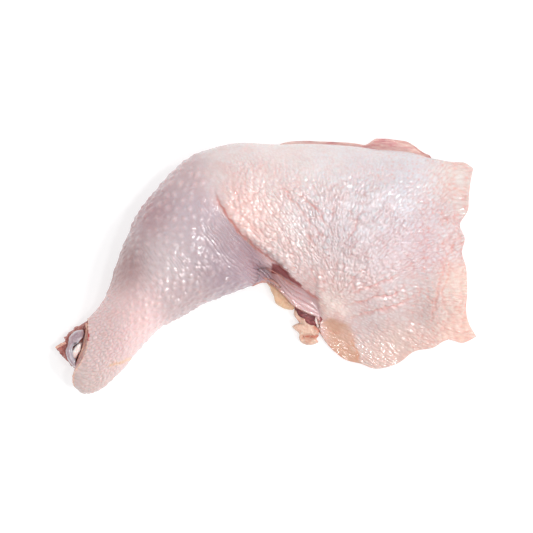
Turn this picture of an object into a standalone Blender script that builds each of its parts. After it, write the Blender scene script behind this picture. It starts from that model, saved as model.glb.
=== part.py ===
"""A raw chicken leg, drumstick and thigh in one piece, lying skin side up on a flat surface.

The frame has its origin under the middle of the leg at table height, +X from the hock to the thigh's
free edge, +Y from the inner side of the bend to the knee, and +Z up. Lengths below are in millimetres.

The leg is lofted between two rails seen from above: the outer rail runs over the knee and the inner rail
runs through the bend. Each station between them has a domed section. The meat is a second loft inside,
and the skin is the outer loft with the meat cut out of it, so the meat shows wherever it is the larger.
"""

import math
from collections import namedtuple

import bmesh
import bpy
import numpy as np

MM = 0.001
GAP = 0.3  # air left between two pieces that lie against each other
SKIN = 2.0  # the skin with the fat under it
SHEET = 1.9  # loose skin beyond the meat
MEAT_EDGE = 1.5  # least thickness of the meat
CUT_BELOW = 8.0  # how many gaps the hollow under the thigh reaches below the table, to open it there

Station = namedtuple(
    "Station", "outer inner crown sole outer_rim inner_rim inner_lap round bow"
)

# outer, inner: where the section meets the rails, seen from above
# crown, sole: highest and lowest point of the section
# outer_rim, inner_rim: height of the skin where it meets the rails
# inner_lap: width of loose skin along the inner rail, beyond the meat
# round: 1 for the drumstick's round section, 0 for the thigh, which is flat underneath
# bow: how far the section bends towards the hock between the rails
STATIONS = (
    Station((-95.9, -28.6), (-103.5, -64.5), 22.0, 2.5, 13.0, 11.0, 0.0, 1.0, -1.5),
    Station((-91.5, -24.6), (-98.0, -68.7), 23.5, 1.5, 12.5, 10.5, 0.0, 1.0, 0.0),
    Station((-87.8, -19.4), (-90.5, -67.2), 25.5, 0.5, 13.0, 11.0, 0.0, 1.0, 0.0),
    Station((-85.1, -13.5), (-82.4, -60.8), 28.5, 0.0, 14.0, 12.5, 0.0, 1.0, 0.0),
    Station((-82.6, -5.9), (-74.8, -53.5), 32.0, -0.5, 15.5, 14.5, 0.0, 1.0, 0.0),
    Station((-79.9, 2.2), (-66.7, -43.2), 36.0, -1.0, 17.5, 16.5, 0.0, 1.0, 0.0),
    Station((-77.0, 10.8), (-57.0, -33.8), 40.0, -1.0, 19.0, 18.5, 0.0, 1.0, 0.0),
    Station((-73.4, 19.4), (-44.6, -26.7), 43.0, -1.0, 20.5, 20.0, 0.0, 1.0, 0.0),
    Station((-68.3, 29.4), (-30.5, -19.7), 44.5, -1.0, 21.5, 21.0, 0.0, 1.0, 0.0),
    Station((-60.8, 39.2), (-18.1, -14.6), 45.0, -1.0, 22.0, 21.0, 0.0, 1.0, 1.0),
    Station((-50.5, 50.8), (-7.8, -10.8), 44.0, -1.0, 22.0, 20.0, 0.0, 1.0, 3.0),
    Station((-40.8, 58.6), (-1.9, -7.8), 42.5, -1.0, 21.5, 18.0, 3.0, 0.9, 5.0),
    Station((-31.5, 62.7), (2.2, -8.6), 41.0, -0.5, 21.0, 15.0, 9.0, 0.8, 6.5),
    Station((-22.5, 65.2), (6.5, -11.0), 40.5, 0.0, 20.0, 13.0, 12.0, 0.6, 5.5),
    Station((-12.0, 66.4), (11.0, -15.2), 40.0, 0.3, 18.5, 11.0, 13.0, 0.4, 4.0),
    Station((-0.8, 65.9), (16.5, -21.1), 40.0, 0.3, 16.5, 10.0, 13.0, 0.2, 2.5),
    Station((10.5, 65.6), (23.5, -24.8), 39.5, 0.3, 15.0, 9.0, 12.0, 0.1, 1.5),
    Station((21.3, 65.9), (28.9, -28.6), 38.5, 0.3, 14.0, 7.5, 11.0, 0.0, 1.0),
    Station((31.6, 65.7), (30.4, -36.7), 37.5, 0.3, 13.0, 5.0, 14.0, 0.0, 0.5),
    Station((41.3, 65.1), (35.4, -44.3), 36.0, 0.3, 12.0, 3.6, 17.0, 0.0, 0.0),
    Station((51.0, 64.2), (42.9, -50.5), 34.0, 0.3, 11.0, 2.8, 19.0, 0.0, 0.0),
    Station((60.8, 62.9), (51.6, -52.9), 31.5, 0.3, 10.0, 2.5, 20.0, 0.0, 0.0),
    Station((70.5, 62.3), (60.2, -55.6), 28.0, 0.3, 9.0, 2.4, 21.0, 0.0, 0.0),
    Station((79.1, 61.2), (71.6, -52.7), 23.0, 0.3, 8.0, 2.3, 20.0, 0.0, 0.0),
    Station((86.7, 58.9), (80.7, -46.2), 16.5, 0.3, 6.5, 2.3, 18.0, 0.0, 0.0),
    Station((94.2, 57.5), (90.5, -44.3), 9.5, 0.3, 4.5, 2.2, 16.0, 0.0, 0.0),
    Station((100.7, 56.2), (98.6, -39.7), 5.0, 0.3, 3.0, 2.2, 15.0, 0.0, 0.0),
    Station((106.7, 56.0), (105.6, -41.6), 3.2, 0.3, 2.4, 2.2, 15.0, 0.0, 0.0),
    Station((111.2, 52.9), (112.6, -38.3), 2.4, 0.3, 2.2, 2.2, 15.0, 0.0, 0.0),
)
LAST = len(STATIONS) - 1
KNEE = 12  # station of the fold where thigh skin lies over the drumstick
MEAT_END = 25.4  # the meat ends here, and the skin runs on to the last station


def spline(values, at):
    """Smooth curve through evenly numbered values, read at the places in at."""
    values = np.asarray(values, float)
    slopes = np.gradient(values, axis=0)
    first = np.clip(np.floor(at).astype(int), 0, len(values) - 2)
    f = np.asarray(at, float) - first
    f = f.reshape(f.shape + (1,) * (values.ndim - 1))
    return (
        (2 * f**3 - 3 * f**2 + 1) * values[first]
        + (f**3 - 2 * f**2 + f) * slopes[first]
        + (3 * f**2 - 2 * f**3) * values[first + 1]
        + (f**3 - f**2) * slopes[first + 1]
    )


def ramp(low, high, x):
    """0 below low, 1 above high, and a smooth step between."""
    f = np.clip((x - low) / (high - low), 0, 1)
    return f * f * (3 - 2 * f)


def hill(x, centre, width):
    return np.exp(-(((x - centre) / width) ** 2))


def column(name, at):
    return spline([getattr(s, name) for s in STATIONS], at)


def plan(at, across):
    """Plan position at a place along the leg, for across from -1 on the inner rail to 1 on the outer."""
    outer, inner = column("outer", at), column("inner", at)
    half = (outer - inner) / 2
    side = half / np.linalg.norm(half, axis=-1, keepdims=True)
    towards_hock = np.stack([-side[..., 1], side[..., 0]], -1)
    bend = (column("bow", at) * (1 - across**2))[..., None]
    steps = np.clip((across + 1) / 2, 0, 1) * (len(FREE_EDGE) - 1)
    drawn = spline(FREE_EDGE, steps) * ramp(LAST - EDGE_RUN, LAST, at)
    return (outer + inner) / 2 + half * across[..., None] + towards_hock * (bend - drawn[..., None])


# The fold: from near the knee, along the overlap of thigh skin on the drumstick, into the bend, then
# along the foot of the thigh above the loose band of skin.
FOLD = (
    (-29.5, 47.0),
    (-27.0, 38.0),
    (-21.8, 28.0),
    (-14.5, 18.0),
    (-5.0, 9.0),
    (3.5, 3.2),
    (10.0, -2.5),
    (15.0, -8.5),
    (22.5, -14.0),
    (31.0, -19.5),
)
FOLD_DEPTH = (0.3, 1.5, 2.6, 3.6, 5.0, 7.5, 9.0, 5.5, 2.5, 0.0)
FOLD_STEPS = 64
THIGH_REACH, DRUM_REACH = 3.0, 5.0  # how far the valley's sides reach
MEAT_REACH = 2.5  # how much farther they reach in the meat under the skin
UNDER_REACH, UNDER_SHARE = 5.0, 1.2  # and on the skin's underside, with its share of the depth

# The thigh's free edge, from the inner rail to the outer one: how far it is drawn in or out
FREE_EDGE = (1.5, -2.5, -3.8, -3.0, -3.0, -3.6, -5.6, -4.0, -6.5, -2.0, -1.3, -0.5, 0.0)
EDGE_RUN = 2.5  # stations over which the free edge is drawn
FLAP_RIDGE = 1.8  # height of the ridge that runs across the loose skin near the free edge
RIDGE_AT, GATHER_AT = 25.9, 27.2  # its station, and that of the shallow gather beyond it


def fold_distance(points):
    """Distance from each plan point to the fold, positive on the thigh's side, and the depth there."""
    steps = np.linspace(0, len(FOLD) - 1, FOLD_STEPS)
    line, depth = spline(FOLD, steps), spline(FOLD_DEPTH, steps)
    away = points[..., None, :] - line
    far = np.linalg.norm(away, axis=-1)
    nearest = far.argmin(-1)
    run = np.gradient(line, axis=0)[nearest]
    gone = np.take_along_axis(away, nearest[..., None, None], -2)[..., 0, :]
    side = run[..., 0] * gone[..., 1] - run[..., 1] * gone[..., 0]
    return np.sign(side) * far.min(-1), depth[nearest]


def fold_relief(points, wider=0.0):
    """Depth of the valley along the fold: steep on the thigh's side and gentler on the drumstick's."""
    distance, depth = fold_distance(points)
    reach = np.where(distance > 0, THIGH_REACH, DRUM_REACH) + wider
    return -depth * np.exp(-np.abs(distance) / reach)


def flap_relief(at, across):
    """A ridge and a shallow gather in the loose skin near the free edge."""
    ridge = hill(at, RIDGE_AT + 0.5 * np.sin(4 * across), 0.45)
    ridge = ridge * ramp(-0.95, -0.5, across) * ramp(0.5, 0.1, across)
    gather = hill(at, GATHER_AT - 0.3 * np.sin(5 * across), 0.3) * ramp(1.0, 0.7, np.abs(across))
    return FLAP_RIDGE * (ridge + 0.4 * gather)


def dome(across, roundness, steep):
    """Height of a section over its width, from 1 in the middle to 0 at its edges."""
    power = 2.0 + 0.5 * (1 - roundness)
    return np.clip(1 - np.abs(across) ** power, 0, None) ** steep


def rim_height(at, across):
    share = ramp(-1.0, 1.0, across)
    return column("inner_rim", at) * (1 - share) + column("outer_rim", at) * share


SLOPE_STATIONS = (17.5, 20.0)  # where the long slope on the thigh's inner side sets in


def steepness(at, across):
    """Exponent of the dome: a round shoulder, and a long slope down to the thigh's loose skin."""
    slope = ramp(*SLOPE_STATIONS, at) * ramp(0.2, -0.6, across)
    return 0.5 + 0.06 * (1 - column("round", at)) + 0.5 * slope


def skin_surface(at, angle, grow=0.0):
    """Outer surface of the leg. angle goes from the outer rail over the top to the inner and back."""
    width = np.linalg.norm(column("outer", at) - column("inner", at), axis=-1)
    roundness = column("round", at)
    across = np.cos(angle)
    flat = plan(at, across)
    reach = 2 * column("inner_lap", at) / width
    on_dome = np.clip((across - reach / 2) / (1 - reach / 2), -1, 1)
    rim = rim_height(at, across)
    top = rim + (column("crown", at) - rim) * dome(on_dome, roundness, steepness(at, across))
    inward = ramp(0.0, 0.25, np.abs(np.sin(angle)))
    sunk = UNDER_SHARE * fold_relief(flat, wider=UNDER_REACH) * inward
    ceiling = np.maximum(top + sunk, SHEET + GAP)
    top = top + (fold_relief(flat) + flap_relief(at, across)) * inward
    top = np.maximum(top, SHEET + GAP)
    sole = column("sole", at)
    round_under = dome(np.clip(across, -1, 1), 1.0, 0.5)
    sheet_under = np.where(on_dome > -1, 1.0, 0.0) * ramp(0.0, 0.18, 1 - np.abs(on_dome))
    under = round_under * roundness + sheet_under * (1 - roundness)
    sheet = SHEET * ramp(0.0, 0.04, 1 - np.abs(across))
    edge = rim - sheet * (1 - roundness)
    bottom = np.clip(edge - (edge - sole) * under, 0.0, ceiling - sheet)
    height = np.where(np.sin(angle) >= 0, top + grow, bottom - grow)
    return np.concatenate([plan(at, across * (1 + 2 * grow / width)), height[..., None]], -1)


def ring_angles(top, under):
    """Angles round a section, with top steps over it and under steps below."""
    over = np.linspace(0, math.pi, top + 1)[:-1]
    below = np.linspace(math.pi, 2 * math.pi, under + 1)[:-1]
    return np.concatenate([over, below])


DENSER_AT_KNEE, DENSER_AT_EDGE = 1.2, 0.6  # how much closer the rows are at the fold and the free edge


def rows(count, start=0.0, end=LAST):
    """Places along the leg, closer together at the fold."""
    even = np.linspace(start, end, 400)
    density = 1 + DENSER_AT_KNEE * hill(even, KNEE + 0.5, 1.5) + DENSER_AT_EDGE * hill(even, end, 1.5)
    total = np.cumsum(density)
    return np.interp(np.linspace(total[0], total[-1], count), total, even)


STRIP = 5.9  # how far the bare meat along the knee side stands out, from under the skin
SPUR = 4.3  # and its spur near the free edge, on top of that
BEND_BULGE = 6.5  # how far it swells under the band of loose skin in the bend
BEND_AT, BEND_RUN = 16.8, 1.3  # the bulge's middle and half its length, in stations
STRIP_STARTS, STRIP_ENDS = (14.2, 15.2), (24.9, 24.2)
SPUR_STARTS, SPUR_ENDS = (20.2, 20.9), (24.2, 22.4)
TABLE_FROM, TABLE_TO = 11.6, 12.8  # stations over which the meat comes down to the table


def meat_bulge(at, across):
    """How far the meat stands out beyond the skin's edge, on the knee side and in the bend."""
    strip = STRIP * ramp(*STRIP_STARTS, at) * ramp(*STRIP_ENDS, at)
    spur = SPUR * ramp(*SPUR_STARTS, at) * ramp(*SPUR_ENDS, at)
    return np.where(across > 0, strip + spur, BEND_BULGE * hill(at, BEND_AT, BEND_RUN))


def meat_surface(at, angle, grow=0.0):
    """Surface of the meat, SKIN inside the leg's outer surface where skin covers it."""
    inset = SKIN + GAP
    width = np.linalg.norm(column("outer", at) - column("inner", at), axis=-1)
    roundness = column("round", at)
    lap = column("inner_lap", at)
    half = (width - lap) / 2 - inset
    c, s = np.cos(angle), np.sin(angle)
    below = np.clip(-s, 0, 1)
    boxy = 1 - 0.6 * (1 - roundness) * (s < 0)
    c = np.sign(c) * np.abs(c) ** boxy
    out = meat_bulge(at, c) * ramp(0.0, 0.4, below)
    offset = lap / 2 + half * c + np.sign(c) * out
    across = 2 * offset / width
    flat = plan(at, across)
    skin_rim = rim_height(at, across)
    rim = np.maximum(skin_rim - 1.0 * (1 - roundness), 1.2)
    crown = column("crown", at) - inset
    top = rim + (crown - rim) * dome(c, roundness, steepness(at, c))
    top = top + fold_relief(flat, wider=MEAT_REACH) * ramp(0.0, 0.25, np.abs(s))
    floor = (np.maximum(column("sole", at), 0) + inset) * ramp(TABLE_TO, TABLE_FROM, at)
    bottom = rim - (rim - floor) * below**boxy
    bottom = np.maximum(np.minimum(bottom, top - MEAT_EDGE * ramp(0.0, 0.3, below)), floor)
    bottom = bottom - grow * (1 + CUT_BELOW * ramp(TABLE_FROM, TABLE_TO, at)) * ramp(0.4, 0.8, below)
    height = np.where(s >= 0, top + grow, bottom)
    return np.concatenate([plan(at, across + 2 * grow * c / width), height[..., None]], -1)


def mesh_object(name, vertices, faces):
    mesh = bpy.data.meshes.new(name)
    mesh.from_pydata([tuple(v) for v in np.asarray(vertices) * MM], [], faces)
    mesh.validate()
    thing = bpy.data.objects.new(name, mesh)
    bpy.context.scene.collection.objects.link(thing)
    work = bmesh.new()
    work.from_mesh(mesh)
    bmesh.ops.recalc_face_normals(work, faces=work.faces)
    bmesh.ops.triangulate(work, faces=work.faces, quad_method="FIXED")
    work.to_mesh(mesh)
    work.free()
    return thing


def loft(name, rings):
    """Closed solid through rings of points, with a face across each end."""
    count, around = rings.shape[:2]
    faces = []
    for i in range(count - 1):
        for j in range(around):
            a, b = i * around + j, i * around + (j + 1) % around
            faces.append((a, b, b + around, a + around))
    faces.append(tuple(range(around)))
    faces.append(tuple(range((count - 1) * around, count * around)))
    return mesh_object(name, rings.reshape(-1, 3), faces)


def cut(thing, cutter):
    cutter.hide_render = True
    cutter.display_type = "WIRE"
    step = thing.modifiers.new("cut " + cutter.name, "BOOLEAN")
    step.operation = "DIFFERENCE"
    step.solver = "EXACT"
    step.object = cutter


def paint(thing, colour, roughness):
    material = bpy.data.materials.new(thing.name)
    material.use_nodes = True
    shader = material.node_tree.nodes["Principled BSDF"]
    shader.inputs["Base Color"].default_value = (*colour, 1)
    shader.inputs["Roughness"].default_value = roughness
    shader.inputs["Metallic"].default_value = 0
    thing.data.materials.clear()
    thing.data.materials.append(material)
    thing.data.shade_smooth()


def cushion(name, outline, low, high, around=26, levels=9, relief=None, grow=0.0):
    """Rounded solid over a plan outline, from low to high; relief lowers its top at a plan point."""
    outline = np.asarray(outline, float)
    centre = outline.mean(0)
    closed = np.concatenate([outline[-2:], outline, outline[:3]])
    edge = spline(closed, 2 + np.linspace(0, len(outline), around + 1)[:-1])
    out = edge - centre
    edge = edge + grow * out / np.linalg.norm(out, axis=-1, keepdims=True)
    low, high = low - grow, high + grow
    rings = []
    for tilt in np.linspace(-0.95, 0.95, levels) * math.pi / 2:
        flat = centre + (edge - centre) * math.cos(tilt) ** 0.6
        height = (low + high) / 2 + (high - low) / 2 * math.sin(tilt) + np.zeros(around)
        if relief and tilt > 0:
            height = height + relief(flat) * math.sin(tilt)
        rings.append(np.concatenate([flat, height[:, None]], -1))
    return loft(name, np.array(rings))


def rod(name, path, radii, grow=0.0, around=12, rows_along=16):
    """Round bar along a smooth path, with rounded ends."""
    steps = np.linspace(0, len(path) - 1, rows_along)
    line = spline(path, steps)
    run = np.gradient(line, axis=0)
    run /= np.linalg.norm(run, axis=-1, keepdims=True)
    level = np.cross(run, (0, 0, 1))
    level /= np.linalg.norm(level, axis=-1, keepdims=True)
    rise = np.cross(level, run)
    ends = np.clip(1 - (2 * steps / steps[-1] - 1) ** 8, 0.12, None) ** 0.5
    radius = (spline(radii, steps) * ends + grow)[:, None, None]
    turn = np.linspace(0, 2 * math.pi, around + 1)[:-1][None, :, None]
    line[0] -= grow * run[0]
    line[-1] += grow * run[-1]
    rings = line[:, None] + radius * (np.cos(turn) * level[:, None] + np.sin(turn) * rise[:, None])
    return loft(name, rings)


def leg_loft(name, grow):
    """The whole leg as one solid, a little larger, to cut what lies against it."""
    at, angle = np.meshgrid(np.concatenate([[-0.06], rows(SKIN_ROWS)[1:]]), SKIN_RING, indexing="ij")
    return loft(name, skin_surface(at, angle, grow=grow))


SKIN_ROWS, MEAT_ROWS = 54, 40
SKIN_RING = ring_angles(26, 14)
MEAT_RING = ring_angles(20, 12)


def make_leg():
    at, angle = np.meshgrid(rows(SKIN_ROWS), SKIN_RING, indexing="ij")
    skin = loft("skin", skin_surface(at, angle))
    along = rows(MEAT_ROWS, 0.0, MEAT_END)
    at, angle = np.meshgrid(along, MEAT_RING, indexing="ij")
    meat = loft("meat", meat_surface(at, angle))
    beyond = np.concatenate([[-0.4], along, [MEAT_END + 0.1]])
    at, angle = np.meshgrid(beyond, MEAT_RING, indexing="ij")
    hollow = loft("hollow", meat_surface(at, angle, grow=2 * GAP))
    cut(skin, hollow)
    paint(skin, (0.78, 0.62, 0.60), 0.4)
    paint(meat, (0.60, 0.26, 0.24), 0.35)
    return hollow


# Yellow fat that hangs out from under the band of skin in the bend
FAT_FLAP = (
    (-1.6, -8.2),
    (0.8, -12.4),
    (4.6, -19.4),
    (8.9, -23.2),
    (12.6, -24.0),
    (15.4, -22.5),
    (14.5, -17.0),
    (9.5, -9.5),
    (3.5, -6.5),
)
# Paler lobes of fat beside it, with a fold between the two largest
FAT_LOBES = (
    (16.5, -21.5),
    (14.6, -25.0),
    (17.8, -29.8),
    (13.8, -32.4),
    (17.4, -36.2),
    (18.6, -41.4),
    (23.5, -43.4),
    (27.8, -41.6),
    (29.2, -37.4),
    (28.0, -29.0),
    (23.0, -22.0),
)
# Dark meat that shows between the band of skin and the lobes
BEND_MEAT = (
    (16.6, -21.0),
    (17.8, -25.6),
    (21.0, -27.6),
    (25.0, -29.6),
    (29.6, -32.2),
    (30.8, -30.0),
    (29.6, -25.5),
    (25.0, -21.5),
    (19.5, -18.5),
)
BEND_MEAT_TOP = 6.2
LOBE_FOLD_Y = -38.1
FAT_FLAP_TOP = 8.5
LOBES_TOP = 7.0
LOBE_FOLD_DEPTH = 2.2


def make_fat(leg, hollow):
    flap = cushion("fat_flap", FAT_FLAP, 0.0, FAT_FLAP_TOP, around=22, levels=8)

    def lobe_fold(flat):
        return -LOBE_FOLD_DEPTH * hill(flat[:, 1], LOBE_FOLD_Y, 1.5)

    lobes = cushion("fat_lobes", FAT_LOBES, 0.0, LOBES_TOP, around=30, relief=lobe_fold)
    spare = cushion("fat_flap_room", FAT_FLAP, 0.0, FAT_FLAP_TOP, around=22, levels=8, grow=1.5 * GAP)
    strip = cushion("bend_meat", BEND_MEAT, 0.0, BEND_MEAT_TOP, around=22, levels=8)
    strip_room = cushion("meat_room", BEND_MEAT, 0.0, BEND_MEAT_TOP, around=22, levels=8, grow=1.5 * GAP)
    for piece in (flap, strip, lobes):
        cut(piece, leg)
        cut(piece, hollow)
    cut(strip, spare)
    cut(lobes, spare)
    cut(lobes, strip_room)
    paint(strip, (0.50, 0.20, 0.22), 0.35)
    paint(flap, (0.72, 0.45, 0.24), 0.4)
    paint(lobes, (0.86, 0.63, 0.52), 0.4)


# The joint's end at the hock: flesh round a grey C of cartilage, with a pad of tendon in its hollow
HOCK_FLESH = (
    (-95.0, -29.0),
    (-99.5, -29.0),
    (-103.6, -31.0),
    (-106.2, -36.0),
    (-110.0, -39.2),
    (-114.2, -43.8),
    (-109.5, -49.5),
    (-105.0, -55.0),
    (-100.5, -57.0),
    (-96.5, -44.0),
)
CARTILAGE = (
    (-100.6, -36.6, 16.0),
    (-105.2, -38.8, 14.5),
    (-107.8, -44.0, 12.0),
    (-106.8, -50.0, 11.0),
    (-103.8, -54.6, 11.0),
)
CARTILAGE_RADII = (3.4, 3.0, 2.2, 2.4, 2.8)
TENDON_PAD = (
    (-99.0, -41.5),
    (-102.4, -41.2),
    (-104.3, -44.5),
    (-103.6, -49.5),
    (-101.2, -51.8),
    (-98.5, -48.0),
)
PAD_LOW, PAD_TOP = 8.5, 15.5
FLESH_LOW, FLESH_TOP = 3.0, 14.5


def make_hock(leg):
    cartilage = rod("hock_cartilage", CARTILAGE, CARTILAGE_RADII)
    room = rod("cartilage_room", CARTILAGE, CARTILAGE_RADII, grow=1.5 * GAP)
    pad = cushion("tendon_pad", TENDON_PAD, PAD_LOW, PAD_TOP, around=18, levels=8)
    pad_room = cushion("pad_room", TENDON_PAD, PAD_LOW, PAD_TOP, around=18, levels=8, grow=1.5 * GAP)
    flesh = cushion("hock_flesh", HOCK_FLESH, FLESH_LOW, FLESH_TOP, around=28)
    for piece in (cartilage, pad, flesh):
        cut(piece, leg)
    cut(pad, room)
    cut(flesh, room)
    cut(flesh, pad_room)
    paint(cartilage, (0.62, 0.54, 0.58), 0.25)
    paint(pad, (0.85, 0.72, 0.66), 0.35)
    paint(flesh, (0.42, 0.14, 0.12), 0.35)


def main():
    for thing in list(bpy.data.objects):
        bpy.data.objects.remove(thing)
    hollow = make_leg()
    leg = leg_loft("leg_room", 2 * GAP)
    make_fat(leg, hollow)
    make_hock(leg)


main()
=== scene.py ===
"""The looks of a raw chicken leg that lies skin side up: skin, meat, fat and the joint's end at the hock.

Lengths here are in millimetres, in the frame's own axes, and MM turns them into Blender's metres.
"""

import math
from collections import namedtuple

import bpy
import numpy as np
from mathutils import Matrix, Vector


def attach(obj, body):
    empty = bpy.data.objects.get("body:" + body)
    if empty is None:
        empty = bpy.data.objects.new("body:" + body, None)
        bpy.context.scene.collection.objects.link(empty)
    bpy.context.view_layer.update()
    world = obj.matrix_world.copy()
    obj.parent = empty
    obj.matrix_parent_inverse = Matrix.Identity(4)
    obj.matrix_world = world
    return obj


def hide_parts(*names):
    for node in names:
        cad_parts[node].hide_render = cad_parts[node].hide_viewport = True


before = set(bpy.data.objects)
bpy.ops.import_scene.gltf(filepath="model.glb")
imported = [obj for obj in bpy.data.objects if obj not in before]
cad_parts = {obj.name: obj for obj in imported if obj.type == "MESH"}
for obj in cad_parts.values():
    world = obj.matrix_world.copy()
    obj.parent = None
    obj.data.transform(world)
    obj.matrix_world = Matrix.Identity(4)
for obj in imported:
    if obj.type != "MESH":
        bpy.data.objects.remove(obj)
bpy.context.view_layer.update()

MM = 0.001
SKIN = 2.0  # the skin with the fat under it
GAP = 0.3  # air between the skin and the meat
SHEET = 1.9  # loose skin beyond the meat
MEAT_EDGE = 1.5  # least thickness of the meat
FLOOR = 0.05  # lowest point of the skin's mesh
PHOTO_SCALE = 0.54  # millimetres to a pixel of the photograph
PHOTO_CENTRE = (265.5, 266.0)  # pixel over the frame's origin

Station = namedtuple("Station", "outer inner crown sole outer_rim inner_rim inner_lap round bow")

# outer, inner: where the section meets the rails, seen from above
# crown, sole: highest and lowest point of the section
# outer_rim, inner_rim: height of the skin where it meets the rails
# inner_lap: width of loose skin along the inner rail, beyond the meat
# round: 1 for the drumstick's round section, 0 for the thigh, which is flat underneath
# bow: how far the section bends towards the hock between the rails
# Further on, a place along the leg is a station's number: 0 at the hock, 11 at the knee, 28 at the free edge
STATIONS = [Station(*row) for row in (
    ((-95.9, -28.6), (-103.5, -64.5), 22.0, 2.5, 13.0, 11.0, 0.0, 1.0, -1.5),
    ((-91.5, -24.6), (-98.0, -68.7), 23.5, 1.5, 12.5, 10.5, 0.0, 1.0, 0.0),
    ((-87.8, -19.4), (-90.5, -67.2), 25.5, 0.5, 13.0, 11.0, 0.0, 1.0, 0.0),
    ((-85.1, -13.5), (-82.4, -60.8), 28.5, 0.0, 14.0, 12.5, 0.0, 1.0, 0.0),
    ((-82.6, -5.9), (-74.8, -53.5), 32.0, -0.5, 15.5, 14.5, 0.0, 1.0, 0.0),
    ((-79.9, 2.2), (-66.7, -43.2), 36.0, -1.0, 17.5, 16.5, 0.0, 1.0, 0.0),
    ((-77.0, 10.8), (-57.0, -33.8), 40.0, -1.0, 19.0, 18.5, 0.0, 1.0, 0.0),
    ((-73.4, 19.4), (-44.6, -26.7), 43.0, -1.0, 20.5, 20.0, 0.0, 1.0, 0.0),
    ((-68.3, 29.4), (-30.5, -19.7), 44.5, -1.0, 21.5, 21.0, 0.0, 1.0, 0.0),
    ((-60.8, 39.2), (-18.1, -14.6), 45.0, -1.0, 22.0, 21.0, 0.0, 1.0, 1.0),
    ((-50.5, 50.8), (-7.8, -10.8), 44.0, -1.0, 22.0, 20.0, 0.0, 1.0, 3.0),
    ((-40.8, 58.6), (-1.9, -7.8), 42.5, -1.0, 21.5, 18.0, 3.0, 0.9, 5.0),
    ((-31.5, 62.7), (2.2, -8.6), 41.0, -0.5, 21.0, 15.0, 9.0, 0.8, 6.5),
    ((-22.5, 65.2), (6.5, -11.0), 40.5, 0.0, 20.0, 13.0, 12.0, 0.6, 5.5),
    ((-12.0, 66.4), (11.0, -15.2), 40.0, 0.3, 18.5, 11.0, 13.0, 0.4, 4.0),
    ((-0.8, 65.9), (16.5, -21.1), 40.0, 0.3, 16.5, 10.0, 13.0, 0.2, 2.5),
    ((10.5, 65.6), (23.5, -24.8), 39.5, 0.3, 15.0, 9.0, 12.0, 0.1, 1.5),
    ((21.3, 65.9), (28.9, -28.6), 38.5, 0.3, 14.0, 7.5, 11.0, 0.0, 1.0),
    ((31.6, 65.7), (30.4, -36.7), 37.5, 0.3, 13.0, 5.0, 14.0, 0.0, 0.5),
    ((41.3, 65.1), (35.4, -44.3), 36.0, 0.3, 12.0, 3.6, 17.0, 0.0, 0.0),
    ((51.0, 64.2), (42.9, -50.5), 34.0, 0.3, 11.0, 2.8, 19.0, 0.0, 0.0),
    ((60.8, 62.9), (51.6, -52.9), 31.5, 0.3, 10.0, 2.5, 20.0, 0.0, 0.0),
    ((70.5, 62.3), (60.2, -55.6), 28.0, 0.3, 9.0, 2.4, 21.0, 0.0, 0.0),
    ((79.1, 61.2), (71.6, -52.7), 23.0, 0.3, 8.0, 2.3, 20.0, 0.0, 0.0),
    ((86.7, 58.9), (80.7, -46.2), 16.5, 0.3, 6.5, 2.3, 18.0, 0.0, 0.0),
    ((94.2, 57.5), (90.5, -44.3), 9.5, 0.3, 4.5, 2.2, 16.0, 0.0, 0.0),
    ((100.7, 56.2), (98.6, -39.7), 5.0, 0.3, 3.0, 2.2, 15.0, 0.0, 0.0),
    ((106.7, 56.0), (105.6, -41.6), 3.2, 0.3, 2.4, 2.2, 15.0, 0.0, 0.0),
    ((111.2, 52.9), (112.6, -38.3), 2.4, 0.3, 2.2, 2.2, 15.0, 0.0, 0.0),
)]
LAST = len(STATIONS) - 1
MEAT_END = 25.4  # the meat ends here, between two stations

# The fold where thigh skin lies over the drumstick, from near the knee into the bend and along the thigh
FOLD = (
    (-29.5, 47.0), (-27.0, 38.0), (-21.8, 28.0), (-14.5, 18.0), (-5.0, 9.0), (3.5, 3.2), (10.0, -2.5),
    (15.0, -8.5), (22.5, -14.0), (31.0, -19.5),
)
FOLD_DEPTH = (0.0, 0.6, 1.3, 2.3, 4.0, 6.8, 9.0, 5.5, 2.5, 0.0)
FOLD_STEPS = 160

# How far the skin's two ends are cut back, from the inner rail to the outer
FREE_EDGE = (1.5, -2.5, -3.8, -3.0, -3.0, -3.6, -5.6, -4.0, -6.5, -2.0, -1.3, -0.3, 1.3)
HOCK_EDGE = (0.0, 1.6, 2.4, 1.7, 0.5, -0.3, -0.9, -1.2, -1.1, -0.9, -0.5, -0.2, 0.0)
FLAP_RIDGE = 1.3  # height of the ridge in the loose skin
STRIP = 5.9  # width of the bare meat along the leg's outer side
SPUR = 4.3  # how much wider it is near the free edge
BEND_BULGE = 6.5  # how far the meat stands out in the bend


def photo(x, y):
    """Plan position of a pixel of the photograph."""
    return (x - PHOTO_CENTRE[0]) * PHOTO_SCALE, (PHOTO_CENTRE[1] - y) * PHOTO_SCALE


def on_photo(path):
    return [photo(*p) for p in path]


def spline(values, at):
    """Smooth curve through evenly numbered values, read at the places in at."""
    values = np.asarray(values, float)
    slopes = np.gradient(values, axis=0)
    first = np.clip(np.floor(at).astype(int), 0, len(values) - 2)
    f = np.asarray(at, float) - first
    f = f.reshape(f.shape + (1,) * (values.ndim - 1))
    return (
        (2 * f**3 - 3 * f**2 + 1) * values[first]
        + (f**3 - 2 * f**2 + f) * slopes[first]
        + (3 * f**2 - 2 * f**3) * values[first + 1]
        + (f**3 - f**2) * slopes[first + 1]
    )


def ramp(low, high, x):
    """0 below low, 1 above high, and a smooth step between."""
    f = np.clip((x - low) / (high - low), 0, 1)
    return f * f * (3 - 2 * f)


def hill(x, centre, width):
    """1 at the centre, falling to 0 on both sides."""
    return np.exp(-(((x - centre) / width) ** 2))


def ridges(wave, power):
    """Rounded ridges with narrow valleys between them, one to a unit of the wave."""
    return np.abs(np.sin(math.pi * wave)) ** power


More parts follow.
